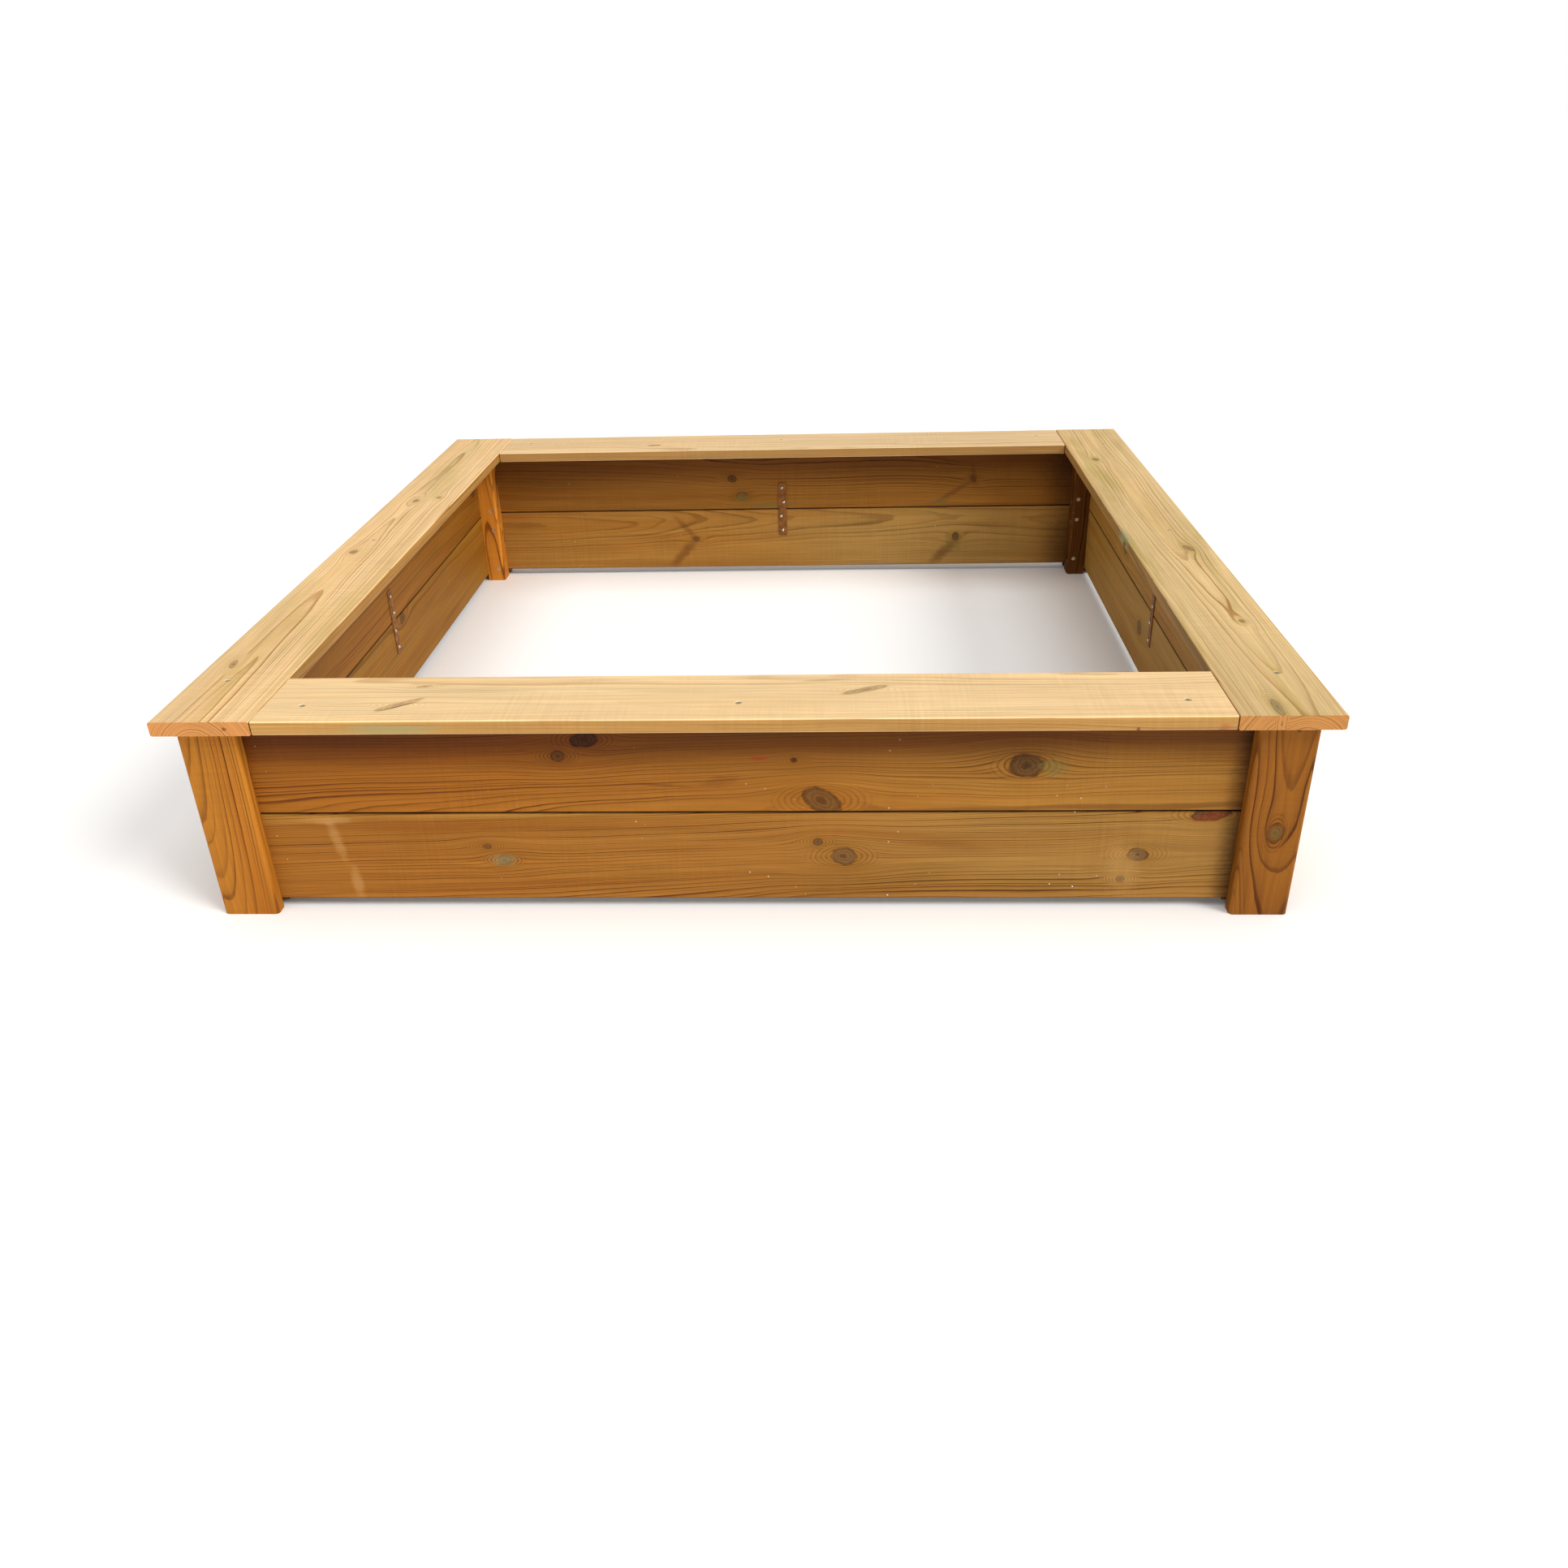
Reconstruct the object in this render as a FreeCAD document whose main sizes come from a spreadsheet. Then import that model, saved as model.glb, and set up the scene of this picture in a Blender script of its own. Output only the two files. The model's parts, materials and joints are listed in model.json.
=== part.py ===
"""Open timber sandbox with a seat frame, as a parametric FreeCAD document, in millimetres.

Four grooved corner posts hold two courses of planed boards on every side. Four seat boards lie on the
posts and on the top edges of the walls. A steel strap ties the two courses together at the middle of each
wall, on the inside. Countersunk screws lock every board end in its groove and hold the seats down.

The origin is on the ground at the middle of the sandbox, +Z is up and the front wall faces -Y.
Each piece is drawn in a frame of its own, with one corner at zero, for the front side or the front left
corner, and its Placement turns it by quarter turns to the other sides and corners.
"""

import FreeCAD, Part  # noqa: E401  FreeCAD has to be imported first
import os
import re
import Sketcher
from FreeCAD import Placement, Rotation, Vector

PARTS = "parts"

# The driving dimensions: alias, value in millimetres, what it is.
SIZES = [
    ("overall_width", 1600, "outer size of the seat frame from left to right"),
    ("overall_depth", 1600, "outer size of the seat frame from front to back"),
    ("overall_height", 327, "ground to the top of the seats"),
    ("seat_thickness", 21, "thickness of a seat board"),
    ("seat_side_width", 140, "width of the left and right seat boards, which run the full depth"),
    ("seat_end_width", 148, "width of the front and back seat boards, which lie between them"),
    ("seat_joint_gap", 1.5, "gap between the end of a front or back seat and a side seat"),
    ("seat_overhang", 22, "how far a seat stands out past the outer face of a post"),
    ("seat_edge_radius", 3, "rounding of a seat board's long edges"),
    ("post_side", 82, "side of the square post"),
    ("post_edge_radius", 6, "rounding of a post's upright edges"),
    ("wall_thickness", 21, "thickness of a wall board"),
    ("ground_gap", 15, "ground to the lower wall board"),
    ("wall_edge_radius", 2.5, "rounding of a wall board's long edges"),
    ("course_gap", 1, "gap between the lower and the upper wall board"),
    ("wall_recess", 20, "outer face of a post to the outer face of a wall board"),
    ("groove_depth", 25, "depth of the groove in a post that takes the board ends"),
    ("groove_side_gap", 0.3, "clearance on each face of a board in its groove"),
    ("groove_end_gap", 1, "clearance between a board's end and the floor of its groove"),
    ("strap_width", 20, "width of a steel strap"),
    ("strap_length", 130, "length of a steel strap"),
    ("strap_thickness", 2, "thickness of a steel strap"),
    ("strap_corner_radius", 2, "rounding of a strap's corners"),
    ("strap_hole_pitch", 35, "height from one strap hole to the next"),
    ("strap_hole_stagger", 3.5, "how far the two middle strap holes stand off the middle line"),
    ("screw_diameter", 5, "shank of a seat or post screw"),
    ("screw_head_diameter", 9, "countersunk head of a seat or post screw"),
    ("screw_length", 60, "whole length of a seat or post screw"),
    ("screw_sink", 0.8, "how far a screw head lies below the face of the wood"),
    ("screw_fit", 0.1, "clearance round a screw in its hole"),
    ("screw_tip_length", 7, "length of a screw's point"),
    ("drive_width", 3.4, "across the flats of the drive recess in a seat or post screw"),
    ("drive_depth", 1.6, "depth of the drive recess in a seat or post screw"),
    ("strap_screw_diameter", 3.6, "shank of a strap screw"),
    ("strap_screw_head_diameter", 7.4, "round head of a strap screw"),
    ("strap_screw_head_height", 2.4, "height of the round head of a strap screw"),
    ("strap_screw_length", 16, "length of a strap screw under its head"),
    ("strap_screw_tip_length", 4, "length of a strap screw's point"),
    ("strap_drive_width", 2.6, "across the flats of the drive recess in a strap screw"),
    ("strap_drive_depth", 1.2, "depth of the drive recess in a strap screw"),
    ("seat_screw_end_inset", 54, "end of a front or back seat to its first screw"),
    ("seat_screw_side_inset", 140, "end of a side seat to its first screw"),
    ("board_screw_inset", 24, "edge of a wall board to the nearest screw in its end"),
    ("post_screw_inset", 13, "inner edge of a post to the row of screws in its inner face"),
    ("cross_screw_drop", 9, "how far the second row of screws in a post lies below the first"),
]

# Sizes that follow from the driving ones: alias, formula, what it is.
DERIVED = [
    ("post_height", "overall_height - seat_thickness", "a post reaches the underside of the seats"),
    ("wall_top", "post_height", "top of the upper wall board"),
    ("wall_board_height", "(wall_top - ground_gap - course_gap) / 2", "height of one wall board"),
    ("lower_board_base", "ground_gap", "ground to the lower wall board"),
    ("upper_board_base", "wall_top - wall_board_height", "ground to the upper wall board"),
    ("board_engagement", "groove_depth - groove_end_gap", "length of a board's end inside its groove"),
    ("front_wall_length", "overall_width - 2 * seat_overhang - 2 * post_side + 2 * board_engagement",
     "length of a front or back wall board"),
    ("side_wall_length", "overall_depth - 2 * seat_overhang - 2 * post_side + 2 * board_engagement",
     "length of a left or right wall board"),
    ("end_seat_length", "overall_width - 2 * seat_side_width - 2 * seat_joint_gap",
     "length of the front or back seat"),
    ("wall_face_inset", "seat_overhang + wall_recess", "outer edge of a seat to the outer face of a wall"),
    ("wall_inner_inset", "wall_face_inset + wall_thickness", "outer edge of a seat to a wall's inner face"),
    ("wall_middle_inset", "wall_face_inset + wall_thickness / 2", "outer edge of a seat to a wall's middle"),
    ("groove_width", "wall_thickness + 2 * groove_side_gap", "width of a groove in a post"),
    ("board_screw_place", "board_engagement - post_screw_inset", "end of a wall board to its screws"),
    ("wall_start", "seat_overhang + post_side - board_engagement", "corner of the plan to a wall's end"),
    ("screw_row", "post_side - post_screw_inset", "outer face of a post to the row of screws"),
    ("screw_hole", "screw_diameter + 2 * screw_fit", "hole for a seat or post screw"),
    ("countersink", "screw_head_diameter + 2 * screw_fit + 2 * screw_sink", "countersink at the face"),
    ("screw_reach", "screw_length + screw_sink + screw_fit", "face of the wood to a pilot hole's bottom"),
    ("post_screw_bite", "screw_reach - (post_side - wall_recess - wall_thickness)",
     "depth of the pilot hole in a wall board's end"),
    ("seat_screw_bite", "screw_reach - seat_thickness", "depth of the pilot hole in a wall's top edge"),
    ("strap_screw_hole", "strap_screw_diameter + 2 * screw_fit", "hole for a strap screw"),
    ("strap_screw_bite", "strap_screw_length - strap_thickness + screw_fit",
     "depth of the pilot hole behind a strap"),
    ("strap_base", "upper_board_base - course_gap / 2 - strap_length / 2", "ground to the foot of a strap"),
    ("strap_first_hole", "strap_length / 2 - 1.5 * strap_hole_pitch", "foot of a strap to its lowest hole"),
]

STRAP_HOLES = 4
MIDDLE_HOLES = (1, 2)
NEARLY_ONE = 0.999
# A hexagon is this many times as wide across its flats as across its corners.
HEXAGON_REACH = 0.8660254
COUNTERSINK_ANGLE = 90
# How a screw is turned, in the frame of its side, so that its head looks inward or along the side.
HEAD_INWARD = Rotation(Vector(1, 0, 0), -90)
HEAD_ALONG = Rotation(Vector(0, 1, 0), 90)
SIDES = ["front", "right", "back", "left"]
CORNERS = ["front_left", "front_right", "back_right", "back_left"]

doc = FreeCAD.newDocument("sandbox")
sheet = doc.addObject("Spreadsheet::Sheet", "Sizes")


def fill_sheet():
    """Writes every driving and derived size to the sheet, each with its alias and a description."""
    for row, (alias, value, note) in enumerate(SIZES + DERIVED, start=1):
        text = f"={value}" if isinstance(value, str) else str(value)
        sheet.set(f"A{row}", note)
        sheet.setAlias(f"B{row}", alias)
        sheet.set(f"B{row}", text)
    doc.recompute()


def size(alias):
    """The present value of one cell, in millimetres."""
    return float(sheet.get(alias))


def ref(formula):
    """Turns a formula in plain aliases into an expression on the sheet."""
    return re.sub(r"[a-z]\w*", lambda word: f"Sizes.{word.group(0)}", formula)


def value_of(formula):
    """Works a formula in plain aliases out, for the first value of a constraint."""
    return float(sheet.evalExpression(ref(formula)))


# --- sketches -----------------------------------------------------------------------------------------


def new_sketch(body, role, name, lift="0"):
    """A sketch on one of the body's own origin planes, moved along the plane's normal by the formula lift."""
    plane = next(f for f in body.Origin.OriginFeatures if f.Role == role)
    sketch = body.newObject("Sketcher::SketchObject", name)
    sketch.AttachmentSupport = [(plane, "")]
    sketch.MapMode = "FlatFace"
    if lift != "0":
        sketch.setExpression("AttachmentOffset.Base.z", ref(lift))
    return sketch


def tie(sketch, kind, *geometry, to):
    """A dimension of the sketch bound to a formula on the sheet."""
    index = sketch.addConstraint(Sketcher.Constraint(kind, *geometry, value_of(to)))
    sketch.setExpression(f"Constraints[{index}]", ref(to))


def polygon(sketch, points):
    """A closed outline through points given as pairs of formulas, every point tied to the sheet."""
    corners = [Vector(value_of(x), value_of(y), 0) for x, y in points]
    first = len(sketch.Geometry)
    count = len(corners)
    for i in range(count):
        sketch.addGeometry(Part.LineSegment(corners[i], corners[(i + 1) % count]), False)
    for i, (x, y) in enumerate(points):
        after = first + (i + 1) % count
        sketch.addConstraint(Sketcher.Constraint("Coincident", first + i, 2, after, 1))
        for kind, formula in (("DistanceX", x), ("DistanceY", y)):
            if formula == "0":
                axis = -2 if kind == "DistanceX" else -1
                sketch.addConstraint(Sketcher.Constraint("PointOnObject", first + i, 1, axis))
            else:
                tie(sketch, kind, -1, 1, first + i, 1, to=formula)


def rectangle(sketch, left, bottom, right, top):
    polygon(sketch, [(left, bottom), (right, bottom), (right, top), (left, top)])


def circles(sketch, centres, diameter):
    """Circles of one diameter whose centres are pairs of formulas."""
    for x, y in centres:
        centre = Vector(value_of(x), value_of(y), 0)
        index = sketch.addGeometry(Part.Circle(centre, Vector(0, 0, 1), value_of(diameter) / 2), False)
        tie(sketch, "DistanceX", -1, 1, index, 3, to=x)
        tie(sketch, "DistanceY", -1, 1, index, 3, to=y)
        tie(sketch, "Diameter", index, to=diameter)


# --- features -----------------------------------------------------------------------------------------


def new_body(label):
    body = doc.addObject("PartDesign::Body", label)
    body.Label = label
    return body


def pad(body, sketch, length, flip=False):
    feature = body.newObject("PartDesign::Pad", f"{body.Name}_pad")
    feature.Profile = sketch
    feature.setExpression("Length", ref(length))
    feature.Reversed = flip
    doc.recompute()
    return feature


def cut_through(body, sketch, name, flip):
    """A pocket through the whole body; flip sends it along the sketch's normal."""
    feature = body.newObject("PartDesign::Pocket", f"{body.Name}_{name}")
    feature.Profile = sketch
    feature.Type = "ThroughAll"
    feature.Reversed = flip
    return checked(body, feature)


def round_edges(body, radius, along):
    """Rounds the straight edges of the body's last feature that run along one direction."""
    base = body.Tip
    picked = []
    for i, edge in enumerate(base.Shape.Edges, start=1):
        direction = edge.tangentAt(edge.FirstParameter)
        if edge.Curve.TypeId == "Part::GeomLine" and abs(direction.dot(along)) > NEARLY_ONE:
            picked.append(f"Edge{i}")
    fillet = body.newObject("PartDesign::Fillet", f"{body.Name}_rounding")
    fillet.Base = (base, picked)
    fillet.setExpression("Radius", ref(radius))
    doc.recompute()
    return fillet


def drill(body, sketch, name, diameter, depth=None, countersink=None, flip=False):
    """Holes at the sketch's circles: through, or to a depth, plain or with a countersink."""
    doc.recompute()
    hole = body.newObject("PartDesign::Hole", f"{body.Name}_{name}")
    hole.Profile = sketch
    doc.recompute()
    hole.ThreadType = "None"
    hole.Threaded = False
    hole.setExpression("Diameter", ref(diameter))
    if countersink:
        hole.HoleCutType = "Countersink"
        hole.HoleCutCustomValues = True
        hole.HoleCutCountersinkAngle = COUNTERSINK_ANGLE
        hole.setExpression("HoleCutDiameter", ref(countersink))
    hole.DepthType = "Dimension" if depth else "ThroughAll"
    hole.DrillPoint = "Flat"
    if depth:
        hole.setExpression("Depth", ref(depth))
    hole.Reversed = flip
    return checked(body, hole)


def checked(body, feature):
    """Recomputes and makes sure that a cutting feature took something away."""
    before = feature.BaseFeature.Shape.Volume
    doc.recompute()
    if not feature.Shape.Volume < before - 1e-3:
        raise RuntimeError(f"{feature.Name} cuts nothing from {body.Label}")
    return feature


def place(piece, turns, along, inward, height, tilt=Rotation()):
    """Turns a piece to its side or corner and binds its zero point to formulas.

    tilt turns the piece first, in the frame of that side.
    """
    formulas = (*plan_point(turns, along, inward), height)
    turn = Rotation(Vector(0, 0, 1), 90 * turns)
    piece.Placement = Placement(Vector(*map(value_of, formulas)), turn.multiply(tilt))
    for axis, formula in zip("xyz", formulas):
        piece.setExpression(f"Placement.Base.{axis}", ref(formula))


# --- places that the pieces share ---------------------------------------------------------------------


def plan_point(turns, along, inward):
    """A point of the plan, seen from the side at that quarter turn.

    along is measured on the side from the corner where it starts, inward from the side towards the middle.
    """
    right, front = "overall_width / 2", "overall_depth / 2"
    return [
        (f"-({right}) + ({along})", f"-({front}) + ({inward})"),
        (f"{right} - ({inward})", f"-({front}) + ({along})"),
        (f"{right} - ({along})", f"{front} - ({inward})"),
        (f"-({right}) + ({inward})", f"{front} - ({along})"),
    ][turns]


def side_length(turns):
    return "overall_width" if turns % 2 == 0 else "overall_depth"


def wall_length(turns):
    return "front_wall_length" if turns % 2 == 0 else "side_wall_length"


def seat_length(turns):
    return "end_seat_length" if turns % 2 == 0 else "overall_depth"


def seat_start(turns):
    """Corner of the plan to the end of that side's seat."""
    return "seat_side_width + seat_joint_gap" if turns % 2 == 0 else "0"


def seat_width(turns):
    return "seat_end_width" if turns % 2 == 0 else "seat_side_width"


def seat_screw_places(turns):
    """Distances along a seat from its end to its three screws."""
    inset = "seat_screw_end_inset" if turns % 2 == 0 else "seat_screw_side_inset"
    length = seat_length(turns)
    return [inset, f"{length} / 2", f"{length} - {inset}"]


def board_screw_heights():
    """Heights of the first row of screws in a post, two for each wall board."""
    return [
        f"{base} + {inset}"
        for base in ("lower_board_base", "upper_board_base")
        for inset in ("board_screw_inset", "wall_board_height - board_screw_inset")
    ]


def strap_start(turns):
    """Corner of the plan to the near edge of that side's strap."""
    return f"{side_length(turns)} / 2 - strap_width / 2"


def strap_hole_places():
    """Holes of a strap in its own frame: across and up."""
    places = []
    for i in range(STRAP_HOLES):
        across = "strap_width / 2"
        if i in MIDDLE_HOLES:
            across += " + strap_hole_stagger" if i == MIDDLE_HOLES[0] else " - strap_hole_stagger"
        places.append((across, f"strap_first_hole + {i} * strap_hole_pitch"))
    return places


# --- the pieces ---------------------------------------------------------------------------------------


def make_post(turns):
    """A square post. Its outer corner is at zero, and one groove opens on +X and one on +Y."""
    post = new_body(f"post_{CORNERS[turns]}")
    outline = new_sketch(post, "XY_Plane", f"{post.Name}_section")
    rectangle(outline, "0", "0", "post_side", "post_side")
    pad(post, outline, "post_height")
    round_edges(post, "post_edge_radius", Vector(0, 0, 1))
    near = "wall_recess - groove_side_gap"
    far = "wall_recess - groove_side_gap + groove_width"
    grooves = new_sketch(post, "XY_Plane", f"{post.Name}_grooves")
    rectangle(grooves, "post_side - groove_depth", near, "post_side + 1", far)
    rectangle(grooves, near, "post_side - groove_depth", far, "post_side + 1")
    cut_through(post, grooves, "groove_pocket", flip=True)
    heights = board_screw_heights()
    first = new_sketch(post, "XZ_Plane", f"{post.Name}_first_row", lift="-post_side")
    circles(first, [("screw_row", h) for h in heights], "screw_hole")
    drill(post, first, "first_holes", "screw_hole", "post_side - wall_recess", "countersink", flip=True)
    second = new_sketch(post, "YZ_Plane", f"{post.Name}_second_row", lift="post_side")
    circles(second, [("screw_row", f"{h} - cross_screw_drop") for h in heights], "screw_hole")
    drill(post, second, "second_holes", "screw_hole", "post_side - wall_recess", "countersink")
    place(post, turns, "seat_overhang", "seat_overhang", "0")
    return post


def make_wall_board(turns, course):
    """A wall board. Its outer face is at Y = 0, and X runs along it."""
    board = new_body(f"wall_board_{SIDES[turns]}_{course}")
    length = wall_length(turns)
    section = new_sketch(board, "YZ_Plane", f"{board.Name}_section")
    rectangle(section, "0", "0", "wall_thickness", "wall_board_height")
    pad(board, section, length)
    round_edges(board, "wall_edge_radius", Vector(1, 0, 0))
    base = f"{course}_board_base"
    ends = new_sketch(board, "XZ_Plane", f"{board.Name}_end_holes", lift="-wall_thickness")
    for height in ("board_screw_inset", "wall_board_height - board_screw_inset"):
        start = ("board_screw_place", height)
        end = (f"{length} - board_screw_place", f"{height} - cross_screw_drop")
        circles(ends, [start, end], "screw_hole")
    drill(board, ends, "end_pilots", "screw_hole", "post_screw_bite", flip=True)
    behind = new_sketch(board, "XZ_Plane", f"{board.Name}_strap_holes", lift="-wall_thickness")
    holes = strap_hole_places()
    mine = holes[: STRAP_HOLES // 2] if course == "lower" else holes[STRAP_HOLES // 2:]
    centres = [(f"{strap_start(turns)} - wall_start + {x}", f"{z} + strap_base - {base}") for x, z in mine]
    circles(behind, centres, "strap_screw_hole")
    drill(board, behind, "strap_pilots", "strap_screw_hole", "strap_screw_bite", flip=True)
    if course == "upper":
        top = new_sketch(board, "XY_Plane", f"{board.Name}_seat_holes", lift="wall_board_height")
        for place_along in seat_screw_places(turns):
            along = f"{place_along} + {seat_start(turns)} - wall_start"
            circles(top, [(along, "wall_thickness / 2")], "screw_hole")
        drill(board, top, "seat_pilots", "screw_hole", "seat_screw_bite")
    place(board, turns, "wall_start", "wall_face_inset", base)
    return board


def make_seat(turns):
    """A seat board. Its outer edge is at Y = 0, and X runs along it."""
    seat = new_body(f"seat_board_{SIDES[turns]}")
    section = new_sketch(seat, "YZ_Plane", f"{seat.Name}_section")
    rectangle(section, "0", "0", seat_width(turns), "seat_thickness")
    pad(seat, section, seat_length(turns))
    round_edges(seat, "seat_edge_radius", Vector(1, 0, 0))
    top = new_sketch(seat, "XY_Plane", f"{seat.Name}_screw_holes", lift="seat_thickness")
    circles(top, [(p, "wall_middle_inset") for p in seat_screw_places(turns)], "screw_hole")
    drill(seat, top, "screw_holes", "screw_hole", countersink="countersink")
    place(seat, turns, seat_start(turns), "0", "post_height")
    return seat


def make_strap(turns):
    """A steel strap with its back face at Y = 0, standing on the seam between the two courses."""
    strap = new_body(f"strap_{SIDES[turns]}")
    outline = new_sketch(strap, "XZ_Plane", f"{strap.Name}_outline")
    rectangle(outline, "0", "0", "strap_width", "strap_length")
    pad(strap, outline, "strap_thickness", flip=True)
    round_edges(strap, "strap_corner_radius", Vector(0, 1, 0))
    holes = new_sketch(strap, "XZ_Plane", f"{strap.Name}_holes")
    circles(holes, strap_hole_places(), "strap_screw_hole")
    cut_through(strap, holes, "hole_pocket", flip=False)
    place(strap, turns, strap_start(turns), "wall_inner_inset", "strap_base")
    return strap


def hexagon(sketch, across_flats):
    """A hexagon round the sketch's origin, with its width across the flats bound to a formula."""
    reach = value_of(across_flats) / 2 / HEXAGON_REACH
    first = len(sketch.Geometry)
    tips = [Rotation(Vector(0, 0, 1), 60 * i).multVec(Vector(reach, 0, 0)) for i in range(6)]
    for i in range(6):
        sketch.addGeometry(Part.LineSegment(tips[i], tips[(i + 1) % 6]), False)
    ring = sketch.addGeometry(Part.Circle(Vector(0, 0, 0), Vector(0, 0, 1), reach), True)
    sketch.addConstraint(Sketcher.Constraint("Coincident", ring, 3, -1, 1))
    sketch.addConstraint(Sketcher.Constraint("PointOnObject", first, 1, -1))
    for i in range(6):
        sketch.addConstraint(Sketcher.Constraint("Coincident", first + i, 2, first + (i + 1) % 6, 1))
        sketch.addConstraint(Sketcher.Constraint("PointOnObject", first + i, 1, ring))
        if i:
            sketch.addConstraint(Sketcher.Constraint("Equal", first, first + i))
    tie(sketch, "Radius", ring, to=f"{across_flats} / 2 / {HEXAGON_REACH}")


def finished_screw(screw, section, recess_height, across_flats, depth):
    """Turns the half section and sinks the drive recess into the head."""
    solid = screw.newObject("PartDesign::Revolution", f"{screw.Name}_turned")
    solid.Profile = section
    solid.ReferenceAxis = (section, ["V_Axis"])
    solid.Angle = 360
    recess = new_sketch(screw, "XY_Plane", f"{screw.Name}_recess", lift=recess_height)
    hexagon(recess, across_flats)
    doc.recompute()
    drive = screw.newObject("PartDesign::Pocket", f"{screw.Name}_drive")
    drive.Profile = recess
    drive.setExpression("Length", ref(depth))
    checked(screw, drive)
    return screw


def make_wood_screw(label):
    """A countersunk screw. The middle of its flat head is at zero, and it points down."""
    screw = new_body(label)
    section = new_sketch(screw, "XZ_Plane", f"{screw.Name}_section")
    shank, head = "screw_diameter / 2", "screw_head_diameter / 2"
    polygon(section, [
        ("0", "0"),
        ("0", "-screw_length"),
        (shank, "-(screw_length - screw_tip_length)"),
        (shank, f"-({head} - {shank})"),
        (head, "0"),
    ])
    return finished_screw(screw, section, "0", "drive_width", "drive_depth")


def make_strap_screw(label):
    """A round-headed screw. The underside of its head is at zero, and it points down."""
    screw = new_body(label)
    section = new_sketch(screw, "XZ_Plane", f"{screw.Name}_section")
    shank, head, rise = "strap_screw_diameter / 2", "strap_screw_head_diameter / 2", "strap_screw_head_height"
    polygon(section, [
        ("0", rise),
        ("0", "-strap_screw_length"),
        (shank, "-(strap_screw_length - strap_screw_tip_length)"),
        (shank, "0"),
        (head, "0"),
        (f"{head} * 0.9", f"{rise} * 0.55"),
        (f"{head} * 0.62", f"{rise} * 0.9"),
        (f"{head} * 0.45", rise),
    ])
    return finished_screw(screw, section, rise, "strap_drive_width", "strap_drive_depth")


def joined(label, screws):
    """One sub-part that holds identical screws as separate solids."""
    group = doc.addObject("Part::Compound", label)
    group.Label = label
    group.Links = screws
    return group


def make_seat_screws(turns):
    """The screws that hold one seat down on the top edge of the wall under it."""
    label = f"seat_screws_{SIDES[turns]}"
    screws = []
    for i, place_along in enumerate(seat_screw_places(turns), start=1):
        screw = make_wood_screw(f"{label}_{i}")
        along = f"{seat_start(turns)} + {place_along}"
        place(screw, turns, along, "wall_middle_inset", "overall_height - screw_sink")
        screws.append(screw)
    return joined(label, screws)


def make_strap_screws(turns):
    """The screws that hold one strap to the inside of its wall."""
    label = f"strap_screws_{SIDES[turns]}"
    face = "wall_inner_inset + strap_thickness"
    screws = []
    for i, (across, height) in enumerate(strap_hole_places(), start=1):
        screw = make_strap_screw(f"{label}_{i}")
        along = f"{strap_start(turns)} + {across}"
        place(screw, turns, along, face, f"strap_base + {height}", HEAD_INWARD)
        screws.append(screw)
    return joined(label, screws)


def make_wall_screws(corner, side):
    """The four screws in one inner face of a post that lock one end of a wall in its groove.

    A post's first row holds the wall that starts at it, and its second row the wall that ends at it. The
    second row lies lower, so the two rows pass each other inside the post.
    """
    label = f"wall_screws_{SIDES[side]}_at_{CORNERS[corner]}"
    face = "seat_overhang + post_side - screw_sink"
    line = "seat_overhang + screw_row"
    screws = []
    for i, height in enumerate(board_screw_heights(), start=1):
        screw = make_wood_screw(f"{label}_{i}")
        if corner == side:
            place(screw, corner, line, face, height, HEAD_INWARD)
        else:
            place(screw, corner, face, line, f"{height} - cross_screw_drop", HEAD_ALONG)
        screws.append(screw)
    return joined(label, screws)


def make_sandbox():
    """Every sub-part, side by side and corner by corner."""
    pieces = []
    for turns in range(4):
        pieces.append(make_post(turns))
        pieces.append(make_wall_board(turns, "lower"))
        pieces.append(make_wall_board(turns, "upper"))
        pieces.append(make_seat(turns))
        pieces.append(make_strap(turns))
        pieces.append(make_seat_screws(turns))
        pieces.append(make_strap_screws(turns))
        pieces.append(make_wall_screws(turns, turns))
        pieces.append(make_wall_screws(turns, (turns - 1) % 4))
    return pieces


def check(pieces):
    """Stops if any object of the document failed, or if a piece has no sound shape."""
    for item in doc.Objects:
        if "Invalid" in item.State or "Error" in item.State:
            raise RuntimeError(f"{item.Label} failed: {item.State}")
    for piece in pieces:
        if piece.Shape.isNull() or not piece.Shape.isValid():
            raise RuntimeError(f"{piece.Label} has no sound shape")


def export(pieces):
    os.makedirs(PARTS, exist_ok=True)
    for piece in pieces:
        piece.Shape.exportStep(f"{PARTS}/{piece.Label}.step")


fill_sheet()
sandbox = make_sandbox()
doc.recompute()
check(sandbox)
export(sandbox)
box = FreeCAD.BoundBox()
for piece in sandbox:
    box.add(piece.Shape.BoundBox)
print(f"{len(sandbox)} sub-parts, {box.XLength:.1f} x {box.YLength:.1f} x {box.ZLength:.1f} mm")
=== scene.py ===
# %% [markdown]
# # A garden sandbox in planed pine
#
# Four grooved posts hold two courses of boards on every side, and four seat boards lie on top. This lesson
# builds the visible pieces over the exact model, gives every board its own cut from a solid, computed log,
# and ends with the light and the camera. All lengths are in metres.

import json
import math

import bmesh
import bpy
from mathutils import Matrix, Vector

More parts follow.
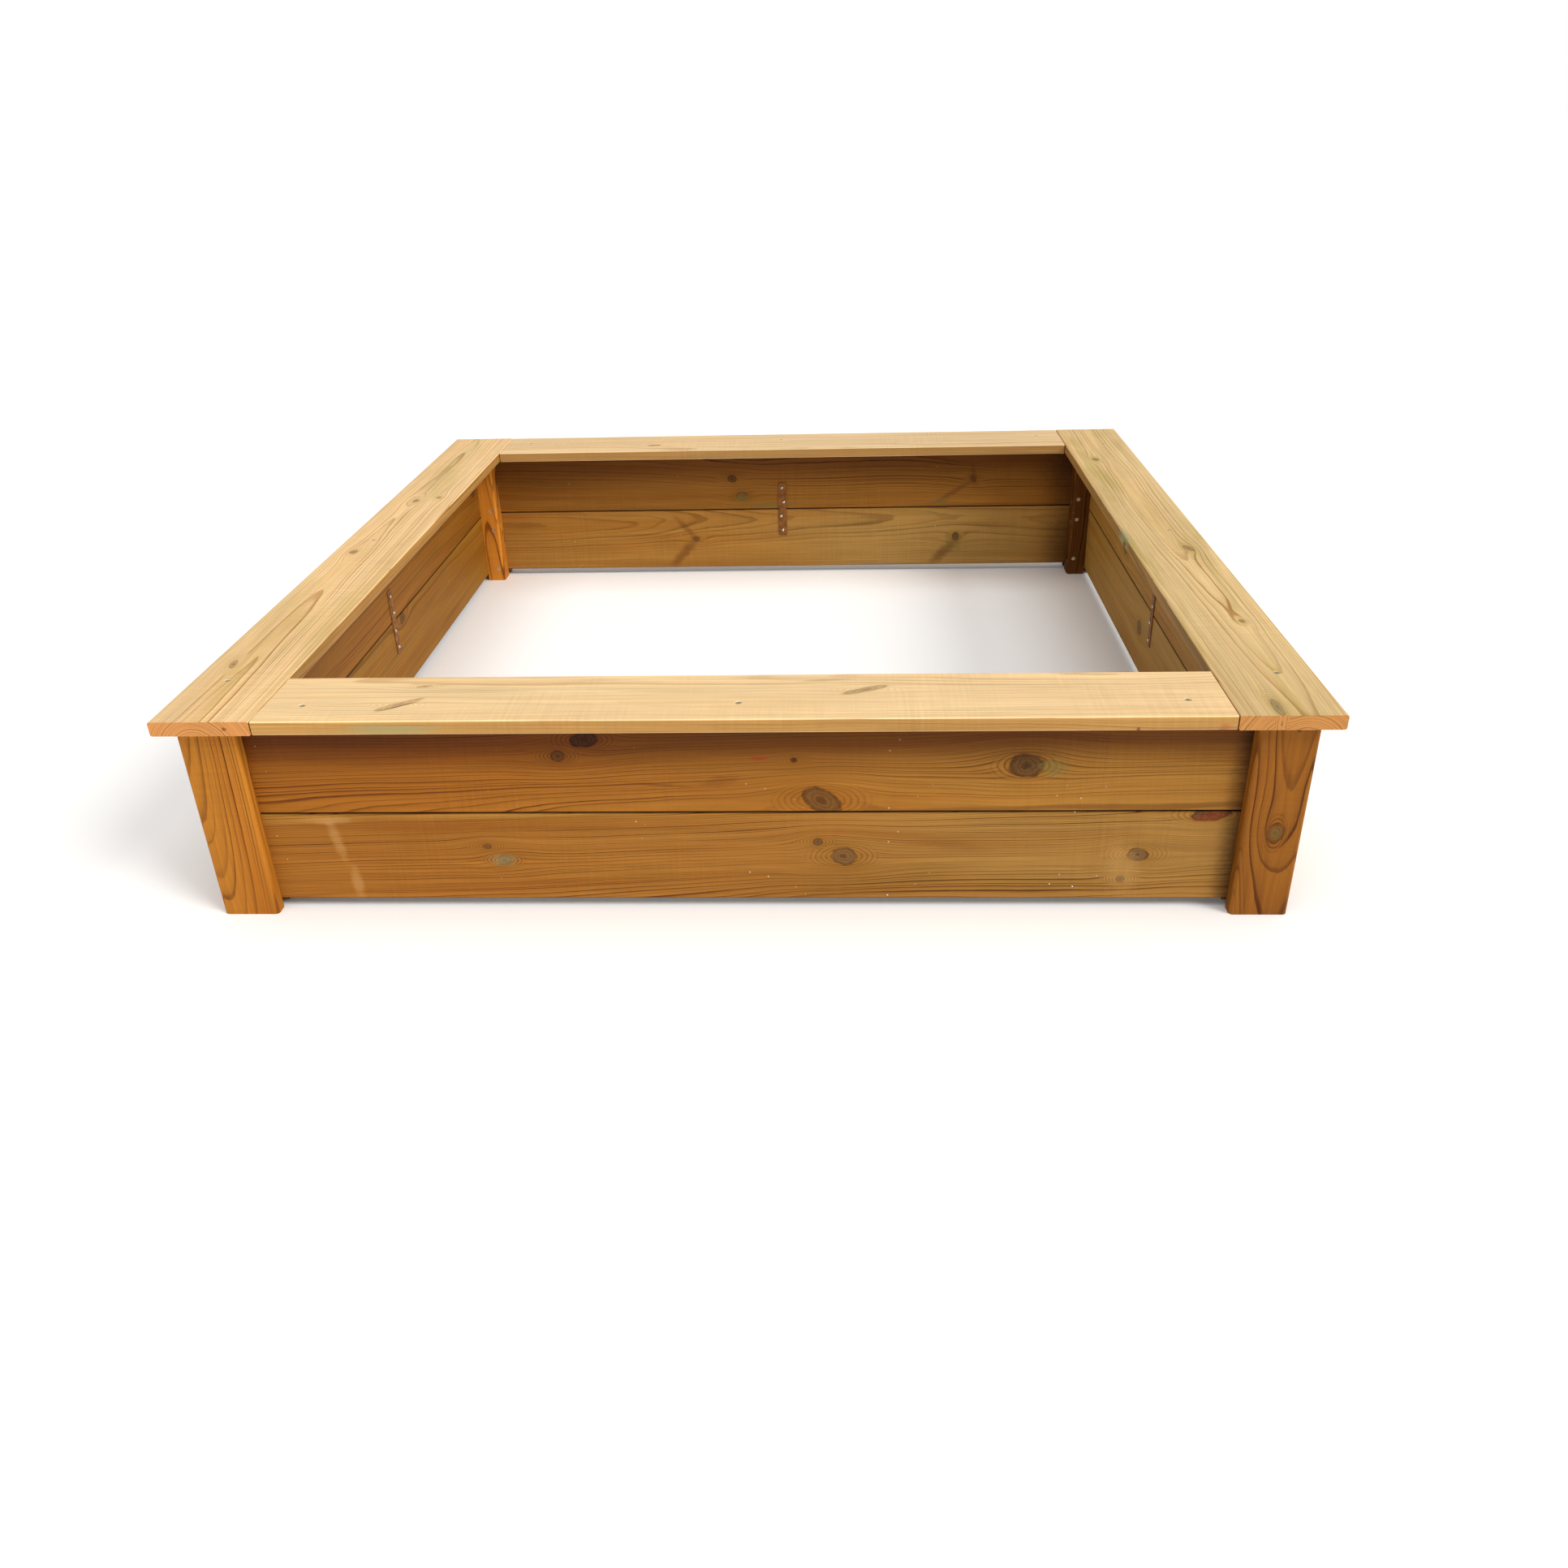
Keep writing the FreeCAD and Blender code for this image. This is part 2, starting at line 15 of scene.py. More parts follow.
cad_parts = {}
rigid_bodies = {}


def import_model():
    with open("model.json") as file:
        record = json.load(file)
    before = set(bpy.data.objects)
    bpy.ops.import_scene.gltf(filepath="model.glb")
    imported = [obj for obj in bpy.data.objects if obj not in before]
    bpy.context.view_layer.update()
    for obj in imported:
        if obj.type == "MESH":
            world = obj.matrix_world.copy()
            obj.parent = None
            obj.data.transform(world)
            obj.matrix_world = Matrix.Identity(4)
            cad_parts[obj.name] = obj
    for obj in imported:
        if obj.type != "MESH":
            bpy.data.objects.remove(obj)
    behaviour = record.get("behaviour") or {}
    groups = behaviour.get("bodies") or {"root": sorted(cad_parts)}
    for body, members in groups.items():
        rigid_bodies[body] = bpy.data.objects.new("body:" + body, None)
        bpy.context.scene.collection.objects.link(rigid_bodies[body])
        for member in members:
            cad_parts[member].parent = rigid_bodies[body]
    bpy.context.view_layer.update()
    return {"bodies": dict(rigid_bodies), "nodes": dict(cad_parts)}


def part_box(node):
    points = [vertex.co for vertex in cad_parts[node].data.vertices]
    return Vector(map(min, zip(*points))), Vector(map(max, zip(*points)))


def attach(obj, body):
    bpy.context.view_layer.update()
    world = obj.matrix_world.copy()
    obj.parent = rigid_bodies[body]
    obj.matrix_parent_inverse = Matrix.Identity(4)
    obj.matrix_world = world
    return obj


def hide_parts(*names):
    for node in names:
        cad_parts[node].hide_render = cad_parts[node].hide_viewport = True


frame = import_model()

# %% [markdown]
# ## The camera
#
# The sandbox is seen from above its front edge, a little to the right of the middle. A camera has three
# axes of its own: where it looks, its right and its up. They follow from a heading, a downward tilt and a
# small roll, which is easier to reason about than three Euler angles.

# %% Place the camera
CAMERA_PLACE = Vector((0.1377, -2.3204, 1.0547))
HEADING = math.radians(-2.86)
TILT = math.radians(28.48)
ROLL = math.radians(-1.59)
LENS_MM = 29.23
SENSOR_MM = 36.0


def camera_axes(heading, tilt, roll):
    """Right, up and forward of a camera, as a 3 x 3 matrix that Blender can use."""
    ahead = Vector((math.sin(heading), math.cos(heading), 0.0))
    level = Vector((math.cos(heading), -math.sin(heading), 0.0))
    forward = ahead * math.cos(tilt) - Vector((0.0, 0.0, math.sin(tilt)))
    upright = level.cross(forward)
    right = level * math.cos(roll) + upright * math.sin(roll)
    up = upright * math.cos(roll) - level * math.sin(roll)
    return Matrix((right, up, -forward)).transposed()


def linked(name, data):
    """A new object with this data, in the scene."""
    thing = bpy.data.objects.new(name, data)
    bpy.context.scene.collection.objects.link(thing)
    return thing


camera = linked("camera", bpy.data.cameras.new("camera"))
camera.data.lens = LENS_MM
camera.data.sensor_width = SENSOR_MM
camera.matrix_world = Matrix.Translation(CAMERA_PLACE) @ camera_axes(HEADING, TILT, ROLL).to_4x4()
bpy.context.scene.camera = camera
print("camera at", tuple(round(v, 3) for v in camera.location), "lens", LENS_MM, "mm")

# %% [markdown]
# ## A helper for node trees
#
# Materials and Geometry Nodes are both trees of nodes. `Graph` adds a node, fills its sockets with numbers
# or with the outputs of other nodes, and hands it back as a `Value`. A sign between two values adds the
# Math node that works it out, so that a tree reads like a formula.

# %% Node tree helper
def sign(operation, swapped=False):
    """The method behind one sign: a Math node, or a Vector Math node when the value is a vector."""
    def worked_out(value, other):
        graph = value.graph
        add = graph.vector if value.socket.type == "VECTOR" else graph.math
        return add(operation, other, value) if swapped else add(operation, value, other)

    return worked_out


class Value:
    """One output of a node. Square brackets pick another output of the same node."""

    def __init__(self, graph, node, output=0):
        self.graph, self.node, self.output = graph, node, output

    def __getitem__(self, output):
        return Value(self.graph, self.node, output)

    @property
    def socket(self):
        return self.node.outputs[self.output]

    __add__, __radd__ = sign("ADD"), sign("ADD", True)
    __sub__, __rsub__ = sign("SUBTRACT"), sign("SUBTRACT", True)
    __mul__, __rmul__ = sign("MULTIPLY"), sign("MULTIPLY", True)
    __truediv__, __pow__ = sign("DIVIDE"), sign("POWER")


class Graph:
    """Adds nodes to one tree and plugs numbers or other nodes' outputs into them."""

    def __init__(self, tree):
        self.tree = tree

    def plug(self, value, socket):
        if isinstance(value, Value):
            self.tree.links.new(value.socket, socket)
        else:
            socket.default_value = value

    def add(self, kind, values=None, **settings):
        node = self.tree.nodes.new(kind)
        for name, setting in settings.items():
            setattr(node, name, setting)
        for key, value in (values or {}).items():
            self.plug(value, node.inputs[key])
        return Value(self, node)

    def math(self, operation, *values, clamp=False):
        values = dict(enumerate(values))
        return self.add("ShaderNodeMath", values, operation=operation, use_clamp=clamp)

    def vector(self, operation, *values):
        return self.add("ShaderNodeVectorMath", dict(enumerate(values)), operation=operation)

    def dot(self, first, second):
        return self.vector("DOT_PRODUCT", first, second)["Value"]

    def combine(self, x, y, z):
        return self.add("ShaderNodeCombineXYZ", {0: x, 1: y, 2: z})

    def separate(self, vector):
        parts = self.add("ShaderNodeSeparateXYZ", {0: vector})
        return parts[0], parts[1], parts[2]

    def turned(self, vector, angle):
        """The vector turned back by an angle in the face of the board."""
        values = {"Vector": vector, "Angle": angle * -1.0}
        return self.add("ShaderNodeVectorRotate", values, rotation_type="Z_AXIS")

    def noise(self, vector, scale=1.0, detail=2.0, roughness=0.5):
        values = {"Vector": vector, "Scale": scale, "Detail": detail, "Roughness": roughness}
        return self.add("ShaderNodeTexNoise", values)

    def step(self, value, low, high):
        """0 below low, 1 above high and smooth between them; low may be the larger one."""
        values = {"Value": value, "From Min": low, "From Max": high}
        return self.add("ShaderNodeMapRange", values, interpolation_type="SMOOTHSTEP")

    def mix(self, factor, first, second, blend="MIX"):
        values = {0: factor, 6: first, 7: second}
        return self.add("ShaderNodeMix", values, data_type="RGBA", blend_type=blend)[2]

    def washed(self, colour, wash):
        """The colour multiplied by another colour."""
        return self.mix(1.0, colour, wash, "MULTIPLY")

    def scaled(self, colour, amount):
        """A colour or another vector times a number."""
        return self.add("ShaderNodeVectorMath", {0: colour, "Scale": amount}, operation="SCALE")


VECTOR, NUMBER, COLOUR = "NodeSocketVector", "NodeSocketFloat", "NodeSocketColor"
GEOMETRY, MATERIAL = "NodeSocketGeometry", "NodeSocketMaterial"


def new_group(name, kind, inputs, outputs):
    """A graph on a new group, and the group's inputs. Sockets are given as type: names with commas."""
    tree = bpy.data.node_groups.new(name, kind)
    for direction, sockets in (("INPUT", inputs), ("OUTPUT", outputs)):
        for socket_type, names in sockets.items():
            for socket_name in names.split(", "):
                tree.interface.new_socket(socket_name, in_out=direction, socket_type=socket_type)
    g = Graph(tree)
    return g, g.add("NodeGroupInput")


def new_material(name):
    """An empty material and the graph on its tree."""
    material = bpy.data.materials.new(name)
    material.use_nodes = True
    material.node_tree.nodes.clear()
    return material, Graph(material.node_tree)


def shade(g, values):
    """Ends a material's tree in one surface shader with these values."""
    surface = g.add("ShaderNodeBsdfPrincipled", values)
    g.add("ShaderNodeOutputMaterial", {"Surface": surface})


def srgb(red, green, blue):
    """A screen colour from 0 to 255 as the linear colour that materials use."""
    def linear(value):
        value /= 255
        return value / 12.92 if value <= 0.04045 else ((value + 0.055) / 1.055) ** 2.4

    return linear(red), linear(green), linear(blue), 1.0


# %% [markdown]
# ## Pine, as a solid
#
# A board is a slice of a log, so its front, edges and end grain all show the same growth rings. The wood
# material therefore works in three dimensions. Each board has bench coordinates: X along the grain, Y
# across the face and Z through the thickness. The log's pith is a line beside the board, leaning a little,
# and the distance from it gives the rings. Where the line leans, the rings leave the face in long Vs.
#
# A knot is where a branch came out. It does two things to the rings: the fibres part and flow round it, and
# the rings rise towards it like ripples. One node group does this for one knot, and a board chains as many
# of these groups as it has knots.

# %% Knot node group
FIBRES_PART = 0.65
RINGS_RISE = 0.45


def make_knot_group():
    g, given = new_group("knot", "ShaderNodeTree", {
        VECTOR: "Place, Grain",
        NUMBER: "Push, Near, Dark, Eye, Along, Across, Radius, Stretch, Turn, Darkness",
    }, {VECTOR: "Grain", NUMBER: "Push, Near, Dark, Eye"})
    x, y, _ = g.separate(given["Place"])
    dx = x - given["Along"]
    dy = y - given["Across"]

    # The outline: an ellipse, turned in the face and a little ragged.
    u, v, _ = g.separate(g.turned(g.combine(dx, dy, 0.0), given["Turn"]))
    reach = given["Radius"] * given["Stretch"]
    away = g.math("SQRT", (u / reach) ** 2.0 + (v / given["Radius"]) ** 2.0)
    ragged = g.noise(given["Place"], 70.0, 3.0, 0.6) - 0.5
    away = ragged * 0.55 + away

    # The eye: the fibres part and the rings rise, much further along the grain than across it.
    long_reach = given["Radius"] * (given["Stretch"] + 0.8) + 0.02
    tall_reach = given["Radius"] * 1.3 + 0.006
    eye = (dx / long_reach) ** 2.0 + (dy / tall_reach) ** 2.0
    close = g.math("EXPONENT", eye * -1.0)
    wide = g.math("EXPONENT", eye * -0.45)
    parting = dy * wide * FIBRES_PART
    grain = given["Grain"] - g.combine(0.0, parting, 0.0)
    push = given["Push"] + given["Radius"] * (close * RINGS_RISE)
    near = g.math("MINIMUM", given["Near"], away)
    inside = g.step(away, 1.35, 0.9)
    dark = g.math("MAXIMUM", given["Dark"], inside * given["Darkness"])
    nearest_eye = g.math("MINIMUM", given["Eye"], g.math("SQRT", eye))
    g.add("NodeGroupOutput", {"Grain": grain, "Push": push, "Near": near, "Dark": dark, "Eye": nearest_eye})
    return g.tree


KNOT = make_knot_group()
print("knot group:", len(KNOT.nodes), "nodes")

# %% [markdown]
# The second group turns the bent grain into rings, fibres and colours. Spring wood is wide and pale, and
# summer wood is a narrow dark line that starts softly and stops sharply. Every ring gets its own strength,
# because every year was different. Sapwood, the outer part of the log, is paler. Ends show the same rings in
# a pinker tone, and a preservative leaves faint green clouds. The group also paints light: a highlight on
# the planed corners of seats and posts, shade on the corners and the upper and lower edges of wall boards
# along their seams, shade on the long edges of seats, and shade on the strip of wall under a seat.

# %% Pine node group
RING_SOFT_START = 0.25
RING_LINE_START = 0.72
RINGS_IN_AN_EYE = 6.5
# The colour that the painted shade under a seat is washed with.
PAINTED_SHADE_TINT = (0.30, 0.20, 0.10, 1.0)


def make_pine_group():
    g, given = new_group("pine", "ShaderNodeTree", {
        VECTOR: "Place, Grain, Pith, Lean, Axis, Across Axis",
        NUMBER: "Push, Near, Dark, Eye, Ring, Wander, Seed, Sapwood, Contrast, Green, Sand, Low Corner, "
                "High Corner, Shelter From, Shelter",
        COLOUR: "Bright, Edge, Spring, Summer, Sap, End, Tint, Warm",
    }, {COLOUR: "Colour", NUMBER: "Roughness, Height"})
    seed = g.scaled((1.0, 1.7, 0.6), given["Seed"])

    def stretched(along, across, source=given["Grain"]):
        return source * (along, across, across) + seed

    def around_one(value, spread):
        """A noise value as a brightness around one."""
        return value * spread + (1.0 - spread / 2)

    # The rings: distance from the leaning, wandering pith.
    x, y, z = g.separate(given["Grain"] - given["Pith"])
    _, lean_y, lean_z = g.separate(given["Lean"])
    slow_y = (g.noise(stretched(1.3, 4.0)) - 0.5) * given["Wander"]
    slow_z = (g.noise(stretched(1.0, 3.0) + (7.3, 2.1, 5.5)) - 0.5) * given["Wander"]
    dy = y - x * lean_y + slow_y
    dz = z - x * lean_z + slow_z
    quick = g.noise(stretched(6.0, 40.0), 1.0, 3.0, 0.6) - 0.5
    radius = g.math("SQRT", dy ** 2.0 + dz ** 2.0) - given["Push"] + quick * 0.0022
    years = radius / given["Ring"]
    uneven = g.add("ShaderNodeTexNoise", {"W": years * 0.35, "Scale": 1.0}, noise_dimensions="1D")
    years = uneven * 2.6 + years
    part = g.math("FRACT", years)
    each = g.add("ShaderNodeTexWhiteNoise", {"W": g.math("FLOOR", years)}, noise_dimensions="1D")
    soft = g.step(part, RING_SOFT_START, 0.95) * 0.42
    line = g.step(part, RING_LINE_START, 0.88) * 0.75
    fading = g.step(g.noise(stretched(2.4, 16.0), 1.0, 3.0), 0.30, 0.68)
    late = (soft + line) * g.step(part, 1.0, 0.95) * (each * 0.65 + 0.4) * (fading * 0.6 + 0.45)

    # Round a knot the rings close into an eye.
    wobble = g.noise(given["Place"] * (22.0, 60.0, 60.0)) * 0.7
    eye_ring = g.math("FRACT", given["Eye"] * RINGS_IN_AN_EYE + wobble)
    eye_line = g.step(eye_ring, 0.45, 0.86) * g.step(eye_ring, 1.0, 0.93) * (fading * 0.55 + 0.3)
    in_eye = g.step(given["Eye"] + (fading - 0.5) * 0.5, 1.15, 0.60)
    late = late * (1.0 - in_eye) + eye_line * in_eye

    # Fibres, streaks and clouds at several scales.
    fibre = g.noise(stretched(9.0, 620.0), 1.0, 3.0, 0.6)
    thread = g.noise(stretched(5.0, 230.0) + (2.2, 4.1, 9.3), 1.0, 3.0, 0.6)
    streak = g.noise(stretched(1.6, 75.0), 1.0, 3.0, 0.55)
    cloud = g.noise(stretched(1.8, 8.0, given["Place"]), 1.0, 4.0, 0.6)
    warm_cloud = g.noise(stretched(1.2, 22.0) + (5.1, 6.6, 2.3), 1.0, 3.0, 0.55)
    green_cloud = g.noise(stretched(2.2, 16.0, given["Place"]) + (3.1, 8.2, 1.4), 1.0, 4.0, 0.6)

    # Faint ripples straight across the board, left by the planer's knives.
    ripple = g.noise(given["Place"] * (230.0, 9.0, 9.0) + seed, 1.0, 1.0)
    ripple = (ripple - 0.5) * g.step(g.noise(stretched(5.0, 5.0, given["Place"])), 0.40, 0.62)

    # Spring and summer wood, then sapwood and warmer heartwood streaks.
    sapwood = g.step(radius, given["Sapwood"], given["Sapwood"] + 0.004)
    early = g.mix(sapwood, given["Spring"], given["Sap"])
    warmth = g.step(warm_cloud, 0.42, 0.72) * 0.75
    early = g.mix(warmth, early, g.washed(early, given["Warm"]))
    colour_now = g.mix(late * given["Contrast"], early, given["Summer"])
    bright = around_one(fibre, 0.34) * around_one(thread, 0.44) * around_one(streak, 0.34)
    colour_now = g.scaled(colour_now, bright * around_one(cloud, 0.46) * (ripple * 0.2 + 1.0))

    # Preservative clouds, strongest near knots.
    halo = g.step(given["Near"], 3.6, 1.1) * given["Green"] * 0.5
    greens = g.math("ADD", g.step(green_cloud, 0.48, 0.7) * given["Green"], halo, clamp=True)
    colour_now = g.mix(greens, colour_now, g.mix(0.85, colour_now, given["Tint"], "MULTIPLY"))
    glow = g.step(given["Near"], 2.4, 1.0) * (given["Dark"] * 0.5 + 0.2)
    colour_now = g.mix(glow, colour_now, g.washed(colour_now, given["Warm"]))

    # The knots: their own fine rings round a dark heart, a thin bark rim and short cracks.
    knot_ring = g.step(g.math("FRACT", given["Near"] * 3.4), 0.45, 1.0)
    speck = g.noise(given["Place"], 210.0, 4.0, 0.65)
    heart = g.step(given["Near"], 0.36, 0.1)
    knot_bright = (knot_ring * -0.42 + 1.1) * around_one(speck, 0.5) * (heart * -0.48 + 1.0)
    greyed = g.mix(0.45, g.scaled(given["Summer"], 1.25), srgb(146, 122, 84))
    light_knot = g.mix(0.34, g.mix(0.35, given["Spring"], given["Summer"]), greyed)
    dark_knot = g.mix(0.25, g.scaled(given["Summer"], 0.55), srgb(84, 66, 44))
    knot_colour = g.scaled(g.mix(given["Dark"], light_knot, dark_knot), knot_bright)
    crack_cells = {"Vector": given["Place"], "Scale": 85.0}
    cracks = g.add("ShaderNodeTexVoronoi", crack_cells, feature="DISTANCE_TO_EDGE")["Distance"]
    crack = g.step(cracks, 0.05, 0.01) * g.step(given["Dark"], 0.62, 0.85)
    knot_colour = g.mix(crack, knot_colour, g.scaled(given["Summer"], 0.2))
    body = g.step(given["Near"], 1.10, 0.84)
    colour_now = g.mix(body * 0.92, colour_now, knot_colour)
    rim = g.step(given["Near"], 0.82, 0.99) * g.step(given["Near"], 1.18, 1.02)
    rim = rim * (given["Dark"] * 0.55 + 0.4) * g.step(g.noise(given["Place"], 60.0), 0.25, 0.6)
    colour_now = g.mix(rim, colour_now, g.scaled(given["Summer"], 0.30))

    # End grain, edges and planed corners, told apart by the way the surface faces.
    facing = g.add("ShaderNodeTexCoord")["Normal"]
    end = g.step(g.math("ABSOLUTE", g.dot(facing, given["Axis"])), 0.75, 0.95)
    pores = g.noise(given["Place"], 900.0, 3.0, 0.6)
    end_rings = g.math("MULTIPLY", late, 1.7, clamp=True)
    end_colour = g.mix(end_rings, given["End"], g.scaled(given["Summer"], 0.85))
    end_colour = g.scaled(end_colour, around_one(pores, 0.5))
    colour_now = g.mix(end, colour_now, end_colour)
    # Painted shade: the long edges of seats and wall boards are darkened by the tone's Edge colour.
    edge = g.step(g.math("ABSOLUTE", g.dot(facing, given["Across Axis"])), 0.80, 0.97)
    colour_now = g.mix(edge, colour_now, g.washed(colour_now, given["Edge"]))
    fx, fy, fz = g.separate(g.vector("ABSOLUTE", facing))
    flat = g.math("MAXIMUM", g.math("MAXIMUM", fx, fy), fz)
    # Painted highlight and painted shade: eased corners are lightened on seats and posts, and darkened on
    # wall boards where the seams are.
    corner = g.step(flat, 0.985, 0.80)
    _, bench_y, _ = g.separate(given["Place"])
    high = g.math("GREATER_THAN", bench_y, 0.0)
    painted_corner_light = high * (given["High Corner"] - given["Low Corner"]) + given["Low Corner"]
    colour_now = g.scaled(colour_now, corner * painted_corner_light + 1.0)

    # Painted shade: the strip of wall under a seat is darkened, where the seat's shadow falls.
    ruffle = g.noise(stretched(3.0, 10.0, given["Place"])) * 0.016 - 0.008
    painted_shade_mask = g.step(bench_y + ruffle, given["Shelter From"], given["Shelter From"] + 0.075)
    colour_now = g.mix(painted_shade_mask * given["Shelter"], colour_now, g.washed(colour_now, PAINTED_SHADE_TINT))
    # Each timber's Bright wash; on three of the posts it is painted shade and painted light.
    colour_now = g.washed(colour_now, given["Bright"])

    # Grains of sand that cling to the rough grain.
    cells = g.add("ShaderNodeTexVoronoi", {"Vector": given["Place"], "Scale": 150.0})
    chosen = g.math("GREATER_THAN", g.separate(cells["Color"])[0], 0.955)
    grain_dot = g.step(cells["Distance"], 0.2, 0.12) * chosen
    patch = g.step(g.noise(given["Place"], 7.0, 3.0), 0.52, 0.66)
    sand = grain_dot * patch * given["Sand"]
    colour_now = g.mix(sand, colour_now, srgb(232, 222, 200))

    height = late * 0.55 + fibre * 0.5 + body * (speck * 0.8) + thread * 0.6 + sand * 2.0
    rough = fibre * 0.16 + 0.52 + end * 0.25
    g.add("NodeGroupOutput", {"Colour": colour_now, "Roughness": rough, "Height": height})
    return g.tree


PINE = make_pine_group()
print("pine group:", len(PINE.nodes), "nodes")

# %% [markdown]
# A third, small group lays one mark over the wood: a stain, a scuff, a fleck of bark. It is a soft ellipsoid
# with a broken edge, so the same group serves a face mark and an edge mark.


# %% Mark node group
def make_mark_group():
    g, given = new_group("mark", "ShaderNodeTree", {
        VECTOR: "Place, Centre, Size", NUMBER: "Turn, Amount, Broken, Wash", COLOUR: "Colour, Tint",
    }, {COLOUR: "Colour"})
    turned = g.turned(given["Place"] - given["Centre"], given["Turn"])
    away = g.vector("LENGTH", turned / given["Size"])
    stretch = given["Place"] * (60.0, 170.0, 170.0)
    broken = (g.noise(stretch, 1.0, 4.0, 0.65) - 0.5) * given["Broken"]
    mask = g.step(away["Value"] + broken, 1.15, 0.25)
    tint = g.mix(given["Wash"], given["Tint"], g.washed(given["Colour"], given["Tint"]))
    colour_now = g.mix(mask * given["Amount"], given["Colour"], tint)
    g.add("NodeGroupOutput", {"Colour": colour_now})
    return g.tree


MARK = make_mark_group()
print("mark group:", len(MARK.nodes), "nodes")

# %% [markdown]
# ## Bench coordinates
#
# Every timber is made lying on a bench, at the world's centre, and then carried to its place. Its bench is
# found from the exact model: the middle of the node's box, the direction of its grain and the direction its
# best face looks. The same matrix, turned round, tells the material where on the bench a point is.

# %% Benches
def quarter(turns, vector):
    """A vector turned by quarter turns about the upright axis."""
    return Matrix.Rotation(math.radians(90 * turns), 3, "Z") @ Vector(vector)


class Bench:
    """Where one CAD node lies: along its grain, across its face and out of its face."""

    def __init__(self, node, along, face):
        low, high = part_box(node)
        self.node = node
        self.along = Vector(along)
        self.face = Vector(face)
        self.across = self.face.cross(self.along)
        axes = Matrix((self.along, self.across, self.face)).transposed()
        self.place = Matrix.Translation((low + high) / 2) @ axes.to_4x4()
        extent = high - low
        self.length, self.width, self.thickness = (
            abs(extent.dot(axis)) for axis in (self.along, self.across, self.face)
        )


SIDES = ["front", "right", "back", "left"]
CORNERS = ["front_left", "front_right", "back_right", "back_left"]

benches = {}
for turns, (side, corner) in enumerate(zip(SIDES, CORNERS)):
    grain = quarter(turns, (1, 0, 0))
    outward = quarter(turns, (0, -1, 0))
    for course in ("lower", "upper"):
        name = f"wall_board_{side}_{course}"
        benches[name] = Bench(name, grain, outward)
    benches[f"seat_board_{side}"] = Bench(f"seat_board_{side}", grain, (0, 0, 1))
    benches[f"post_{corner}"] = Bench(f"post_{corner}", (0, 0, 1), outward)
for name, bench in benches.items():
    print(f"{name}: {bench.length:.3f} x {bench.width:.3f} x {bench.thickness:.3f}")

# %% [markdown]
# ## One finish for each timber
#
# The tones are shared and the cut is not. A tone is a set of colours: the seats were lighter stock than the
# walls and posts. A cut says where the pith lies on the bench, how it leans, how wide the years are and
# where the knots sit. The material maps the object's own coordinates back to the bench, runs them through
# one knot group for each knot and then through the pine group.

# %% Tones
# A tone's Edge colour and its corner numbers paint light: shade on the edges, a highlight on the corners of
# seats and posts, and shade on the corners of wall boards.
TONES = {
    "seat": {
        "Spring": srgb(232, 194, 143), "Summer": srgb(176, 126, 66), "Sap": srgb(238, 204, 156),
        "End": srgb(220, 148, 86), "Tint": srgb(214, 220, 176), "Warm": (1.0, 0.93, 0.84, 1.0),
        "Low Corner": 0.16, "High Corner": 0.16, "Edge": (0.62, 0.47, 0.26, 1.0),
    },
    "wall": {
        "Spring": srgb(170, 112, 44), "Summer": srgb(98, 52, 14), "Sap": srgb(184, 132, 62),
        "End": srgb(170, 108, 54), "Tint": srgb(216, 220, 150), "Warm": (0.88, 0.72, 0.50, 1.0),
        "Low Corner": -0.80, "High Corner": -0.50, "Edge": (0.25, 0.20, 0.15, 1.0),
    },
    "post": {
        "Spring": srgb(190, 122, 42), "Summer": srgb(104, 52, 10), "Sap": srgb(198, 136, 58),
        "End": srgb(176, 112, 56), "Tint": srgb(206, 214, 150), "Warm": (0.92, 0.78, 0.55, 1.0),
        "Low Corner": 0.08, "High Corner": 0.08, "Edge": (1.0, 1.0, 1.0, 1.0),
    },
}


def cut(pith, lean, ring, wander, contrast=0.8, green=0.25, sand=0.0, bright=(1.0, 1.0, 1.0),
        shelter=(0.0, 0.02), sapwood=0.5):
    """How a timber lies in its log and how it has aged. The seat shade pair gives the painted shade under a
    seat: how dark, and from what height.
    """
    return {
        "Pith": pith, "Lean": (0.0, *lean), "Ring": ring, "Wander": wander, "Contrast": contrast,
        "Green": green, "Sand": sand, "Bright": (*bright, 1.0), "Shelter": shelter[0],
        "Shelter From": shelter[1], "Sapwood": sapwood,
    }


# A kind of mark: its colour, how broken its outline is, and whether it covers the wood (0) or washes it (1).
MARKS = {
    "green": (srgb(156, 152, 106), 1.5, 0.0),
    "moss": (srgb(116, 102, 46), 1.6, 0.0),
    "slate": (srgb(120, 108, 76), 0.9, 0.0),
    "pale": (srgb(206, 160, 98), 1.1, 0.0),
    "blond": (srgb(250, 226, 178), 0.6, 0.0),
    "bark": (srgb(46, 24, 10), 0.5, 0.0),
    "pink": (srgb(170, 96, 62), 0.8, 0.0),
    "red": (srgb(150, 58, 22), 0.8, 0.0),
    "rust": (srgb(104, 58, 22), 1.0, 0.0),
    # Painted shade: a dark wash at a board's end beside a post.
    "damp": ((0.16, 0.12, 0.08, 1.0), 0.4, 1.0),
    "amber": ((0.90, 0.74, 0.45, 1.0), 0.5, 1.0),
    "tan": ((1.00, 1.22, 1.75, 1.0), 0.5, 1.0),
}


# %% Timber finish
MARK_LEVEL = 0.01
MARK_DEPTH = 0.05


